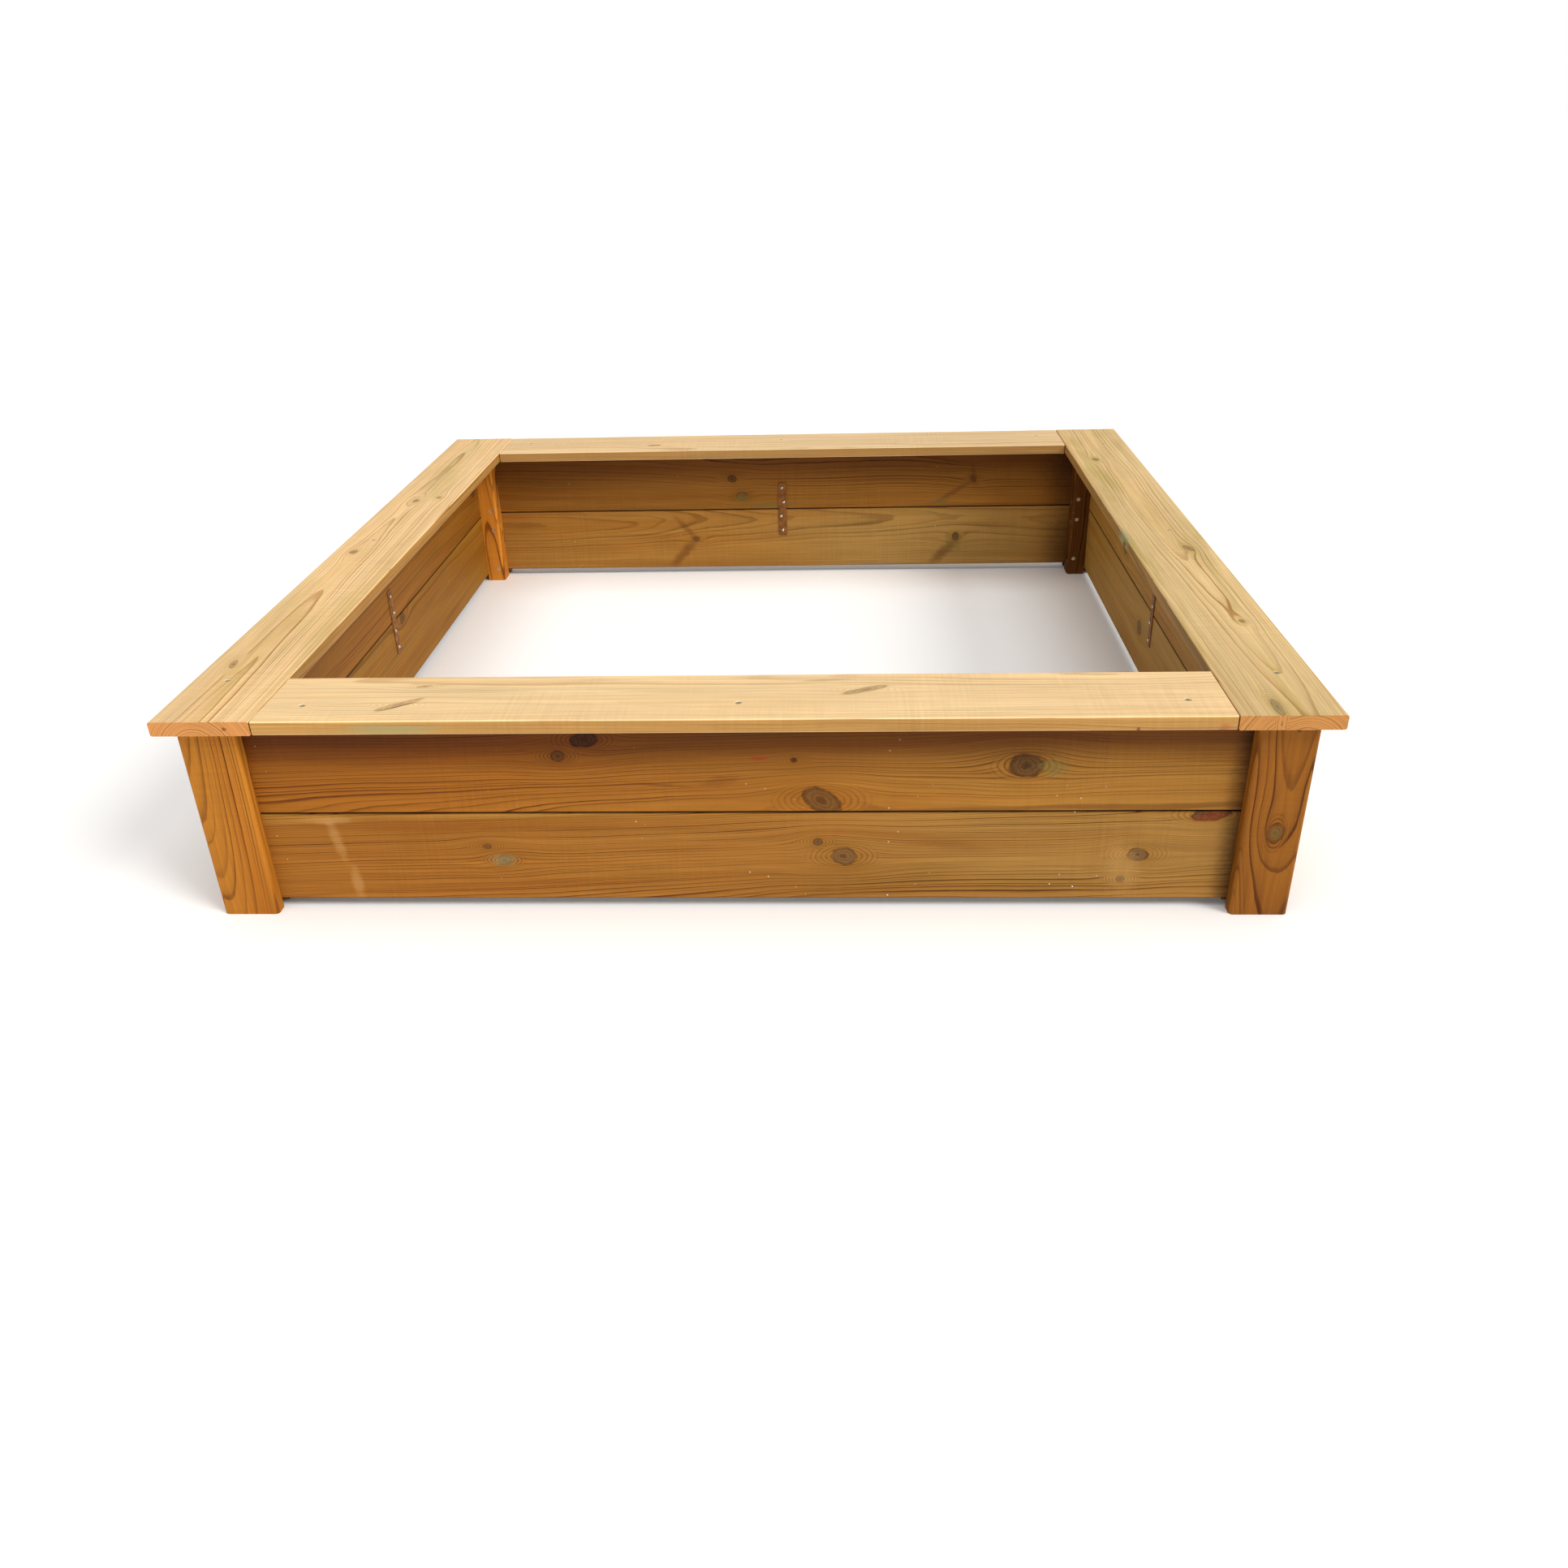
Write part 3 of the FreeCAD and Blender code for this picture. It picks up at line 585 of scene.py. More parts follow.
def timber_finish(bench, tone, seed, cut, knots=(), marks=()):
    """
    The wood of one timber, in bench metres. Each knot is (along, across, radius, stretch, turn, darkness).
    Each mark is (kind, centre, size, turn, amount), and may leave out how high and how deep it lies.
    """
    material, g = new_material(f"pine_{bench.node}")
    to_bench = bench.place.inverted()
    place = g.add("ShaderNodeMapping", {
        "Vector": g.add("ShaderNodeTexCoord")["Object"],
        "Location": to_bench.to_translation(),
        "Rotation": to_bench.to_euler(),
    })
    chain = {"Grain": place, "Push": 0.0, "Near": 9.0, "Dark": 0.0, "Eye": 9.0}
    for along, across, radius, stretch, turn, darkness in knots:
        knot = g.add("ShaderNodeGroup", {
            "Place": place, **chain, "Along": along, "Across": across, "Radius": radius, "Stretch": stretch,
            "Turn": math.radians(turn), "Darkness": darkness,
        }, node_tree=KNOT)
        chain = {key: knot[key] for key in chain}
    pine = g.add("ShaderNodeGroup", {
        "Place": place, **chain, "Seed": seed, "Axis": tuple(bench.along), "Across Axis": tuple(bench.across),
        **TONES[tone], **cut,
    }, node_tree=PINE)
    colour = pine["Colour"]
    for name, centre, size, turn, amount in marks:
        tint, broken, wash = MARKS[name]
        colour = g.add("ShaderNodeGroup", {
            "Colour": colour, "Place": place, "Centre": (*centre, MARK_LEVEL)[:3],
            "Size": (*size, MARK_DEPTH)[:3], "Turn": math.radians(turn),
            "Tint": tint, "Amount": amount, "Broken": broken, "Wash": wash,
        }, node_tree=MARK)
    bump = g.add("ShaderNodeBump", {"Height": pine["Height"], "Strength": 0.35, "Distance": 0.0006})
    shade(g, {
        "Base Color": colour, "Roughness": pine["Roughness"], "Normal": bump, "Specular IOR Level": 0.12,
    })
    return material


# %% [markdown]
# ## The cuts
#
# These are the timbers that were picked from the stack. Each line gives its tone, its seed, its cut, its
# knots and its marks. The knots are placed one by one: large ringed ones in the front wall, narrow spike
# knots in the seats. "Bright" makes one timber darker, paler or yellower than its tone, as real boards
# differ; on the front right and back right posts it paints shade, and on the back left post it paints light.
# The seat shade in a cut paints the shade under a seat, and a few soft dark washes paint the shade at the
# ends of boards beside the posts. Soft "amber" washes make parts of some boards warmer and darker, and soft
# "tan" washes make parts of others paler. The painted shade and light are part of the materials, so they stay
# when the lamps change.

# %% Choose the timbers
CUTS = {
    "wall_board_front_upper": (
        "wall", 1.3, cut((0.1, -0.075, -0.06), (0.01, 0.01), 0.003, 0.035, contrast=1.0, green=0.22,
            sand=0.5, shelter=(0.9, -0.022), bright=(0.93, 0.93, 0.8)),
        [(-0.255, 0.018, 0.0085, 1.15, 0, 0.5), (-0.215, 0.043, 0.011, 1.7, 8, 0.8),
         (0.074, 0.01, 0.0035, 1.2, 0, 0.85), (0.112, -0.054, 0.0165, 1.75, -32, 0.55),
         (0.395, 0.0, 0.0185, 1.25, 0, 0.72)],
        [("red", (0.026, 0.013), (0.016, 0.0035), 0, 0.85),
         ("moss", (0.432, -0.004), (0.024, 0.016), 0, 0.5),
         ("rust", (-0.12, -0.028), (0.055, 0.003), -4, 0.5),
         ("rust", (-0.03, -0.022), (0.035, 0.01), 10, 0.35),
         ("amber", (-0.62, 0.0), (0.6, 0.2), 0, 0.9),
         ("tan", (0.52, -0.01), (0.4, 0.16), 0, 0.6),
         # painted shade at this board's end beside the post
         ("damp", (0.712, 0.0), (0.042, 0.3), 0, 0.85)],
    ),
    "wall_board_front_lower": (
        "wall", 4.1, cut((-0.2, -0.1, -0.07), (0.028, 0.008), 0.0027, 0.04, contrast=1.15, green=0.35,
            sand=0.9, sapwood=0.183, bright=(0.91, 0.97, 1.02)),
        [(-0.374, 0.018, 0.0045, 1.3, 0, 0.4), (-0.351, -0.006, 0.0085, 1.2, 0, 0.35),
         (0.106, 0.024, 0.0055, 1.2, 10, 0.55), (0.143, 0.0, 0.0135, 1.35, -12, 0.42),
         (0.561, 0.002, 0.0105, 1.3, 0, 0.5), (0.54, -0.039, 0.005, 1.1, 0, 0.6),
         (0.655, 0.067, 0.009, 3.0, 6, 0.85)],
        [("amber", (-0.62, -0.02), (0.55, 0.2), 0, 0.7),
         ("tan", (0.5, -0.01), (0.5, 0.18), 0, 0.9),
         # painted shade at this board's end beside the post
         ("damp", (0.71, 0.0), (0.042, 0.3), 0, 0.85),
         ("red", (0.655, 0.064), (0.03, 0.01), 10, 0.4),
         ("pale", (-0.593, 0.028), (0.01, 0.045), 10, 0.28),
         ("pale", (-0.576, -0.045), (0.01, 0.035), 4, 0.3),
         ("pale", (-0.6, 0.062), (0.045, 0.008), 0, 0.3),
         ("green", (-0.352, -0.006), (0.024, 0.012), 0, 0.35),
         ("pale", (0.54, -0.02), (0.03, 0.05), 8, 0.22),
         ("rust", (0.3, 0.018), (0.06, 0.012), -6, 0.25)],
    ),
    "wall_board_back_upper": (
        "wall", 7.7, cut((0.0, 0.06, 0.07), (0.01, 0.012), 0.0034, 0.04, contrast=0.9, green=0.4,
            sand=0.4, shelter=(0.75, -0.03), bright=(0.81, 0.83, 0.75)),
        [(0.12, 0.003, 0.0085, 1.2, 0, 0.6), (0.098, -0.04, 0.01, 1.3, 0, 0.45),
         (-0.462, -0.005, 0.006, 1.6, 70, 0.5)],
        [("rust", (-0.459, 0.023, -0.01), (0.05, 0.006), 77, 0.6),
         # painted shade at this board's end beside the post
         ("damp", (-0.72, 0.0, -0.01), (0.11, 0.16), 0, 0.75),
         ("rust", (-0.418, -0.035, -0.01), (0.07, 0.008), -31, 0.5),
         ("moss", (-0.385, -0.06, -0.01), (0.03, 0.01), -10, 0.6),
         ("moss", (0.098, -0.045, -0.01), (0.02, 0.014), 0, 0.6),
         ("moss", (0.03, -0.062, -0.01), (0.07, 0.008), 0, 0.5)],
    ),
    "wall_board_back_lower": (
        "wall", 9.2, cut((0.3, 0.05, 0.08), (0.008, -0.014), 0.0032, 0.04, contrast=0.65, green=0.3,
            sand=0.6, bright=(0.99, 1.17, 1.45)),
        [(0.216, 0.0, 0.006, 1.5, 0, 0.5), (-0.424, -0.002, 0.008, 1.3, 90, 0.8)],
        [("rust", (0.24, 0.028, -0.01), (0.048, 0.009), 48, 0.45),
         # painted shade at this board's end beside the post
         ("damp", (-0.72, -0.02, -0.01), (0.1, 0.16), 0, 0.75),
         ("rust", (0.248, -0.036, -0.01), (0.06, 0.015), -47, 0.6),
         ("rust", (-0.395, -0.04, -0.01), (0.06, 0.016), -44, 0.6),
         ("tan", (-0.35, -0.01, -0.01), (0.45, 0.16), 0, 0.8),
         ("moss", (-0.42, -0.02, -0.01), (0.03, 0.03), 0, 0.4)],
    ),
    "wall_board_left_upper": (
        "wall", 12.9, cut((0.2, -0.07, 0.06), (0.01, 0.012), 0.0033, 0.035, sand=0.4,
            shelter=(0.65, -0.015), bright=(0.76, 0.74, 0.5)),
        [(-0.66, 0.0, 0.011, 1.4, 0, 0.5), (0.31, 0.03, 0.009, 1.3, 0, 0.6)],
        [],
    ),
    "wall_board_left_lower": (
        "wall", 15.4, cut((-0.1, 0.08, 0.06), (-0.008, 0.014), 0.0035, 0.035, sand=0.7,
            bright=(0.84, 0.94, 0.7)),
        [(-0.05, 0.062, 0.01, 1.4, 0, 0.5), (0.42, -0.02, 0.012, 1.3, 0, 0.6)],
        [],
    ),
    "wall_board_right_upper": (
        "wall", 18.8, cut((0.0, 0.07, -0.06), (0.008, 0.015), 0.0033, 0.035, sand=0.4,
            shelter=(0.65, -0.015), bright=(1.08, 1.35, 1.6)),
        [(-0.32, 0.02, 0.011, 1.3, 0, 0.6), (0.28, -0.03, 0.014, 1.3, 0, 0.4)],
        [],
    ),
    "wall_board_right_lower": (
        "wall", 21.5, cut((0.2, -0.08, -0.06), (-0.008, 0.012), 0.0032, 0.035, sand=0.7,
            bright=(1.13, 1.52, 1.9)),
        [(0.09, 0.01, 0.013, 1.3, 0, 0.5), (-0.5, -0.04, 0.007, 1.2, 0, 0.7)],
        [],
    ),
    "seat_board_front": (
        "seat", 24.2, cut((-0.45, 0.06, -0.085), (0.008, 0.004), 0.003, 0.03, contrast=0.52, green=0.12,
            bright=(0.96, 1.02, 1.07)),
        [(-0.47, -0.021, 0.0055, 6.0, 36, 0.04), (-0.45, 0.04, 0.0035, 3.0, 12, 0.1),
         (0.174, 0.018, 0.0065, 5.0, 24, 0.06)],
        [("slate", (0.172, 0.017), (0.04, 0.009), 24, 0.3),
         ("slate", (0.12, 0.052), (0.045, 0.006), 6, 0.3),
         ("bark", (-0.468, -0.027), (0.036, 0.0022), 34, 0.85),
         ("green", (-0.47, -0.07, -0.002), (0.085, 0.012, 0.01), 0, 0.7),
         ("bark", (0.112, -0.07, -0.001), (0.012, 0.004, 0.002), 0, 0.9),
         ("bark", (0.15, -0.07, 0.001), (0.018, 0.004, 0.0015), 0, 0.8),
         ("bark", (0.196, -0.07, 0.0), (0.012, 0.004, 0.0015), 0, 0.8),
         ("bark", (0.53, -0.07, -0.008), (0.004, 0.006, 0.005), 0, 1.0),
         ("pink", (0.642, -0.07, -0.006), (0.012, 0.008, 0.007), 0, 0.85),
         ("blond", (-0.24, 0.02), (0.12, 0.006), 0, 0.3)],
    ),
    "seat_board_back": (
        "seat", 27.9, cut((0.1, 0.06, -0.09), (0.006, 0.008), 0.0034, 0.03, contrast=0.6, green=0.15,
            bright=(0.86, 0.92, 1.0)),
        [(0.3, 0.02, 0.006, 2.4, 10, 0.4)],
        [],
    ),
    "seat_board_left": (
        "seat", 30.3, cut((0.5, -0.012, -0.04), (0.006, 0.01), 0.0036, 0.025, contrast=0.95, green=0.5,
            bright=(0.93, 0.95, 0.94)),
        [(-0.262, -0.012, 0.0065, 1.7, 0, 0.5), (-0.284, 0.03, 0.005, 1.4, 0, 0.4),
         (0.073, -0.031, 0.007, 1.5, 0, 0.5), (0.6, -0.034, 0.005, 3.0, 10, 0.35)],
        [("bark", (0.7945, 0.035, 0.0), (0.01, 0.005, 0.004), 0, 0.9)],
    ),
    "seat_board_right": (
        "seat", 33.6, cut((-0.6, -0.015, -0.042), (0.008, 0.012), 0.0038, 0.03, contrast=0.95, green=0.85,
            bright=(0.8, 0.85, 0.8)),
        [(-0.773, 0.015, 0.006, 4.0, 0, 0.25), (-0.463, -0.024, 0.0045, 1.5, 0, 0.5),
         (-0.11, -0.028, 0.0065, 2.4, 15, 0.5), (0.516, 0.025, 0.0065, 1.8, 0, 0.5)],
        [("slate", (-0.773, 0.015), (0.03, 0.012), 0, 0.4),
         ("green", (-0.03, 0.07, 0.0), (0.05, 0.012), 0, 0.75),
         ("bark", (-0.04, 0.07, -0.003), (0.012, 0.012, 0.007), 0, 0.8)],
    ),
    "post_front_left": (
        "post", 36.1, cut((-0.15, 0.03, -0.02), (0.05, 0.08), 0.005, 0.02, contrast=0.9, green=0.2,
            sand=0.6, bright=(0.89, 0.88, 0.75)),
        [],
        [],
    ),
    # Painted shade: its Bright darkens this whole post.
    "post_front_right": (
        "post", 39.4, cut((0.1, -0.01, -0.018), (0.03, 0.06), 0.0052, 0.025, green=0.45, sand=0.6,
            bright=(0.52, 0.48, 0.42)),
        [(-0.017, -0.004, 0.012, 1.25, 0, 0.15)],
        [("moss", (-0.017, -0.004, 0.04), (0.014, 0.01, 0.03), 0, 0.45)],
    ),
    # Painted shade: its Bright darkens this post in the shaded back right corner.
    "post_back_right": (
        "post", 42.8, cut((0.0, 0.01, -0.015), (0.03, 0.06), 0.0058, 0.02, sand=0.4,
            bright=(0.26, 0.23, 0.24)),
        [(0.05, 0.01, 0.01, 1.2, 0, 0.5)],
        [],
    ),
    # Painted light: its Bright lightens this post.
    "post_back_left": (
        "post", 45.7, cut((0.0, -0.01, -0.018), (0.03, 0.05), 0.0056, 0.02, sand=0.4,
            bright=(1.2, 1.2, 1.1)),
        [(-0.06, 0.005, 0.01, 1.2, 0, 0.4)],
        [],
    ),
}

# The front right post shows its knot to the front, so its finish lies on a bench of its own.
finish_benches = {**benches, "post_front_right": Bench("post_front_right", (0, 0, 1), (0, -1, 0))}
finishes = {
    name: timber_finish(finish_benches[name], tone, seed, cut, knots, marks)
    for name, (tone, seed, cut, knots, marks) in CUTS.items()
}
print(len(finishes), "timber finishes,", sum(len(cut[3]) for cut in CUTS.values()), "knots")

# %% [markdown]
# ## Running a Geometry Nodes tree
#
# A tree is a recipe. It runs as a modifier on a holder object, the result is taken as a plain mesh, and the
# holder goes away. The finished mesh is carried from the bench to its place, so its object stays at the
# world's centre, unturned.

# %% Run a tree
def holder_for(tree, values, place, points=(), facing=None):
    """A holder with the tree on it. Points, if there are any, are on the bench, and all face the same way."""
    mesh = bpy.data.meshes.new("holder")
    mesh.from_pydata([tuple(point) for point in points], [], [])
    if facing is not None:
        layer = mesh.attributes.new("facing", "FLOAT_VECTOR", "POINT")
        for item in layer.data:
            item.vector = facing
    holder = linked("holder", mesh)
    holder.matrix_world = place
    modifier = holder.modifiers.new("recipe", "NODES")
    modifier.node_group = tree
    identifiers = {item.name: item.identifier for item in tree.interface.items_tree if item.in_out == "INPUT"}
    for name, value in values.items():
        modifier[identifiers[name]] = value
    return holder


def taken_from(holder, name):
    """The holder's evaluated shape as a plain mesh object at the world's centre."""
    bpy.context.view_layer.update()
    shape = holder.evaluated_get(bpy.context.evaluated_depsgraph_get())
    mesh = bpy.data.meshes.new_from_object(shape)
    mesh.transform(holder.matrix_world)
    mesh.name = name
    bpy.data.objects.remove(holder)
    return linked(name, mesh)


# %% [markdown]
# ## Screws, read from the exact model
#
# A node of screws holds several separate solids in a row. Sorting its points along the row and cutting
# where there is a gap gives the screws one by one, and the middle of each one's head.

# %% Find the screws
ROW_GAP = 0.005


def screw_heads(node, facing):
    """The middle of the top of each screw's head in one CAD node."""
    points = [vertex.co.copy() for vertex in frame["nodes"][node].data.vertices]
    low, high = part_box(node)
    row = max(range(3), key=lambda axis: high[axis] - low[axis])
    points.sort(key=lambda point: point[row])
    screws = [[points[0]]]
    for point in points[1:]:
        if point[row] - screws[-1][-1][row] > ROW_GAP:
            screws.append([])
        screws[-1].append(point)
    heads = []
    for screw in screws:
        middle = Vector((min(p[i] for p in screw) + max(p[i] for p in screw)) / 2 for i in range(3))
        top = max(point.dot(facing) for point in screw)
        heads.append(middle + facing * (top - middle.dot(facing)))
    return heads


screw_rows = {}
for turns, side in enumerate(SIDES):
    inward = quarter(turns, (0, 1, 0))
    screw_rows[f"seat_screws_{side}"] = Vector((0, 0, 1))
    screw_rows[f"strap_screws_{side}"] = inward
    screw_rows[f"wall_screws_{side}_at_{CORNERS[turns]}"] = inward
    screw_rows[f"wall_screws_{side}_at_{CORNERS[(turns + 1) % 4]}"] = inward
heads = {node: screw_heads(node, facing) for node, facing in screw_rows.items()}
print("screws:", sum(len(found) for found in heads.values()), "in", len(heads), "rows")

# %% [markdown]
# ## Planed timber
#
# A planer gives a board the same section along its whole length: a rectangle with eased corners. So the
# recipe sweeps that section along a line. Real boards also move a little as they dry, so the line wavers by
# a fraction of a millimetre. Cutters then take out the grooves and countersinks. Edges that turn sharply,
# such as the sawn ends, are shaded sharp, and the eased corners stay smooth.

# %% Timber recipe
STATION = 0.02
SHARP_ANGLE = 0.6


def swept(g, path, section):
    """A closed section carried along a path, with both ends filled."""
    return g.add("GeometryNodeCurveToMesh", {"Curve": path, "Profile Curve": section, "Fill Caps": True})


def without(g, whole, cutter):
    values = {"Mesh 1": whole, "Mesh 2": cutter}
    return g.add("GeometryNodeMeshBoolean", values, operation="DIFFERENCE", solver="EXACT")


def eased_plate(g, width, height, radius, steps):
    """A rectangle with round corners, as a curve."""
    plate = g.add("GeometryNodeCurvePrimitiveQuadrilateral", {"Width": width, "Height": height})
    values = {"Curve": plate, "Count": steps, "Radius": radius}
    return g.add("GeometryNodeFilletCurve", values, mode="POLY")


def hand_out(g, shape, finish):
    """Ends a tree: the shape gets its material and leaves the group."""
    done = g.add("GeometryNodeSetMaterial", {"Geometry": shape, "Material": finish})
    g.add("NodeGroupOutput", {"Geometry": done})
    return g.tree


def make_timber_tree():
    g, given = new_group("planed timber", "GeometryNodeTree", {
        NUMBER: "Length, Width, Thickness, Rounding, Waver, Seed", "NodeSocketObject": "Cutters",
        MATERIAL: "Finish",
    }, {GEOMETRY: "Geometry"})
    half = given["Length"] * 0.5
    start = g.combine(half * -1.0, 0.0, 0.0)
    line = g.add("GeometryNodeCurvePrimitiveLine", {"Start": start, "End": g.combine(half, 0.0, 0.0)})
    path = g.add("GeometryNodeResampleCurve", {"Curve": line, "Count": given["Length"] / STATION})
    along = g.separate(g.add("GeometryNodeInputPosition"))[0]
    sway = given["Waver"] * (g.noise(g.combine(along * 2.5, given["Seed"], 0.0), 1.0, 1.0) - 0.5)
    bent = g.add("GeometryNodeSetPosition", {"Geometry": path, "Offset": g.combine(0.0, sway, 0.0)})
    level = g.add("GeometryNodeSetCurveNormal", {"Curve": bent}, mode="Z_UP")
    section = eased_plate(g, given["Width"], given["Thickness"], given["Rounding"], 5)
    cutters = g.add("GeometryNodeObjectInfo", {"Object": given["Cutters"]}, transform_space="RELATIVE")
    smooth = g.add("GeometryNodeSetShadeSmooth", {
        "Geometry": without(g, swept(g, level, section), cutters["Geometry"]),
    })
    angle = g.add("GeometryNodeInputMeshEdgeAngle")["Unsigned Angle"]
    sawn = g.add("GeometryNodeSetShadeSmooth", {
        "Geometry": smooth, "Selection": g.math("GREATER_THAN", angle, SHARP_ANGLE), "Shade Smooth": False,
    }, domain="EDGE")
    return hand_out(g, sawn, given["Finish"])


TIMBER = make_timber_tree()

# %% [markdown]
# ## Cutters
#
# A countersink is a cone over a drilled hole, and a groove is a long box. Both are closed shapes that reach
# a little past the surface they cut, because faces that only touch make a boolean unsure. The groove's size
# is the wall board's own section and a small clearance.

# %% Cutter shapes
SCREW_SINK = 0.0008
HEAD_RADIUS = 0.0046
SHANK_RADIUS = 0.0026
PAST = 0.002
GROOVE_CLEARANCE = Vector((0.0003, 0.0003, 0.0003))
END_CLEARANCE = 0.001
CUTTER_SEGMENTS = 32


def turned_shape(shape, profile, place):
    """Adds a closed turned solid to a bmesh: profile is (radius, height) from its top to its bottom."""
    rings = []
    for radius, height in profile:
        ring = []
        for i in range(CUTTER_SEGMENTS):
            angle = 2 * math.pi * i / CUTTER_SEGMENTS
            point = Vector((radius * math.cos(angle), radius * math.sin(angle), height))
            ring.append(shape.verts.new(place @ point))
        rings.append(ring)
    for upper, lower in zip(rings, rings[1:]):
        for i in range(CUTTER_SEGMENTS):
            j = (i + 1) % CUTTER_SEGMENTS
            shape.faces.new((upper[i], lower[i], lower[j], upper[j]))
    shape.faces.new(rings[0])
    shape.faces.new(reversed(rings[-1]))


def countersink(shape, head, facing, depth):
    """A cutter for one screw: it opens at 45 degrees from the sunk head to past the wood's surface."""
    place = Matrix.Translation(head) @ facing.to_track_quat("Z", "Y").to_matrix().to_4x4()
    top = SCREW_SINK + PAST
    profile = [
        (HEAD_RADIUS + top, top),
        (SHANK_RADIUS, SHANK_RADIUS - HEAD_RADIUS),
        (SHANK_RADIUS, -depth),
    ]
    turned_shape(shape, profile, place)


def groove(shape, board, post, along):
    """A cutter the size of a wall board's end, running the whole height of the post."""
    low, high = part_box(board)
    post_low, post_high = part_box(post)
    reach = GROOVE_CLEARANCE + Vector(abs(c) for c in along) * END_CLEARANCE
    low, high = low - reach, high + reach
    low.z, high.z = post_low.z - PAST, post_high.z + PAST
    size = Matrix.Diagonal((high - low).to_4d())
    size[3][3] = 1.0
    bmesh.ops.create_cube(shape, size=1.0, matrix=Matrix.Translation((low + high) / 2) @ size)


def cutter_object(name, shape):
    mesh = bpy.data.meshes.new(name)
    shape.to_mesh(mesh)
    shape.free()
    return linked(name, mesh)


# %% Cutters for each timber
THROUGH_SEAT = 0.03
THROUGH_POST = 0.0605


def cutters_for(name):
    """What is cut from one timber: countersinks in seats and posts, and two grooves in a post."""
    shape = bmesh.new()
    for turns, side in enumerate(SIDES):
        corner = CORNERS[turns]
        before = SIDES[turns - 1]
        if name == f"seat_board_{side}":
            for head in heads[f"seat_screws_{side}"]:
                countersink(shape, head, Vector((0, 0, 1)), THROUGH_SEAT)
        if name == f"post_{corner}":
            groove(shape, f"wall_board_{side}_lower", name, benches[f"wall_board_{side}_lower"].along)
            groove(shape, f"wall_board_{before}_lower", name, benches[f"wall_board_{before}_lower"].along)
            for row in (f"wall_screws_{side}_at_{corner}", f"wall_screws_{before}_at_{corner}"):
                for head in heads[row]:
                    countersink(shape, head, screw_rows[row], THROUGH_POST)
    return cutter_object(f"cutters_{name}", shape)


# %% [markdown]
# ## Cut and plane the timbers
#
# Seats, wall boards and posts go through the same recipe. A seat is held by its screws alone, so it wavers
# most; a wall board is held in its grooves and a post is thick, so they hardly bend. A board is planed
# narrower and shorter by its waver, so that it stays inside the exact model's box.

# %% Make the timbers
ROUNDING = {"seat": 0.003, "wall": 0.0025, "post": 0.006}
WAVER = {"seat": 0.0006, "wall": 0.0003, "post": 0.0}

timbers = {}
for name, (tone, seed, *_) in CUTS.items():
    bench = benches[name]
    cutters = cutters_for(name)
    waver = WAVER[tone]
    holder = holder_for(TIMBER, {
        "Length": bench.length - waver / 2, "Width": bench.width - waver, "Thickness": bench.thickness,
        "Rounding": ROUNDING[tone], "Waver": waver, "Seed": seed, "Cutters": cutters,
        "Finish": finishes[name],
    }, bench.place)
    holder.modifiers.new("flat faces stay flat", "WEIGHTED_NORMAL").keep_sharp = True
    timbers[name] = taken_from(holder, f"{name}_planed")
    bpy.data.objects.remove(cutters)
    print(name, len(timbers[name].data.polygons), "faces")

# %% [markdown]
# ## The screws
#
# Every screw is a turned shape with a star-shaped recess for the driver. The recipe turns one screw from a
# short profile, cuts the recess, puts a copy on each point that it is given and spins each copy, because
# nobody lines up screws.

# %% Screw recipe
STAR_POINTS = 6


def make_screw_tree(name, profile, segments, recess_radius, recess_depth):
    """A recipe for one kind of screw: profile is (radius, height) from the top of its head to its point."""
    g, given = new_group(name, "GeometryNodeTree", {
        GEOMETRY: "Geometry", "NodeSocketInt": "Seed", MATERIAL: "Finish",
    }, {GEOMETRY: "Geometry"})
    index = g.add("GeometryNodeInputIndex")

    def pick(values):
        """The value at each point's own number."""
        switch = g.add("GeometryNodeIndexSwitch", data_type="FLOAT")
        while len(switch.node.index_switch_items) < len(values):
            switch.node.index_switch_items.new()
        for i, value in enumerate((index, *values)):
            g.plug(value, switch.node.inputs[i])
        return switch

    row = g.add("GeometryNodeMeshLine", {"Count": len(profile)})
    spine = g.add("GeometryNodeMeshToCurve", {"Mesh": row})
    heights = g.combine(0.0, 0.0, pick([height for _, height in profile]))
    placed = g.add("GeometryNodeSetPosition", {"Geometry": spine, "Position": heights})
    sized = g.add("GeometryNodeSetCurveRadius", {
        "Curve": placed, "Radius": pick([radius for radius, _ in profile]),
    })
    ring = g.add("GeometryNodeCurvePrimitiveCircle", {"Resolution": segments, "Radius": 1.0})
    lathe = swept(g, sized, ring)
    if "Scale" in lathe.node.inputs:
        g.plug(g.add("GeometryNodeInputRadius"), lathe.node.inputs["Scale"])
    top = profile[0][1]
    down = g.add("GeometryNodeCurvePrimitiveLine", {
        "Start": (0.0, 0.0, top + PAST), "End": (0.0, 0.0, top - recess_depth),
    })
    star = g.add("GeometryNodeCurveStar", {
        "Points": STAR_POINTS, "Inner Radius": recess_radius * 0.68, "Outer Radius": recess_radius,
    })
    screw = without(g, lathe, swept(g, down, star))
    facing = g.add("GeometryNodeInputNamedAttribute", {"Name": "facing"}, data_type="FLOAT_VECTOR")
    aim = g.add("FunctionNodeAlignRotationToVector", {"Vector": facing}, axis="Z")
    spin = g.add("FunctionNodeRandomValue", {3: math.tau, "Seed": given["Seed"]}, data_type="FLOAT")
    turn = g.add("FunctionNodeEulerToRotation", {"Euler": g.combine(0.0, 0.0, spin[1])})
    both = g.add("FunctionNodeRotateRotation", {"Rotation": aim, "Rotate By": turn}, rotation_space="LOCAL")
    copies = g.add("GeometryNodeInstanceOnPoints", {
        "Points": given["Geometry"], "Instance": screw, "Rotation": both,
    })
    return hand_out(g, g.add("GeometryNodeRealizeInstances", {"Geometry": copies}), given["Finish"])


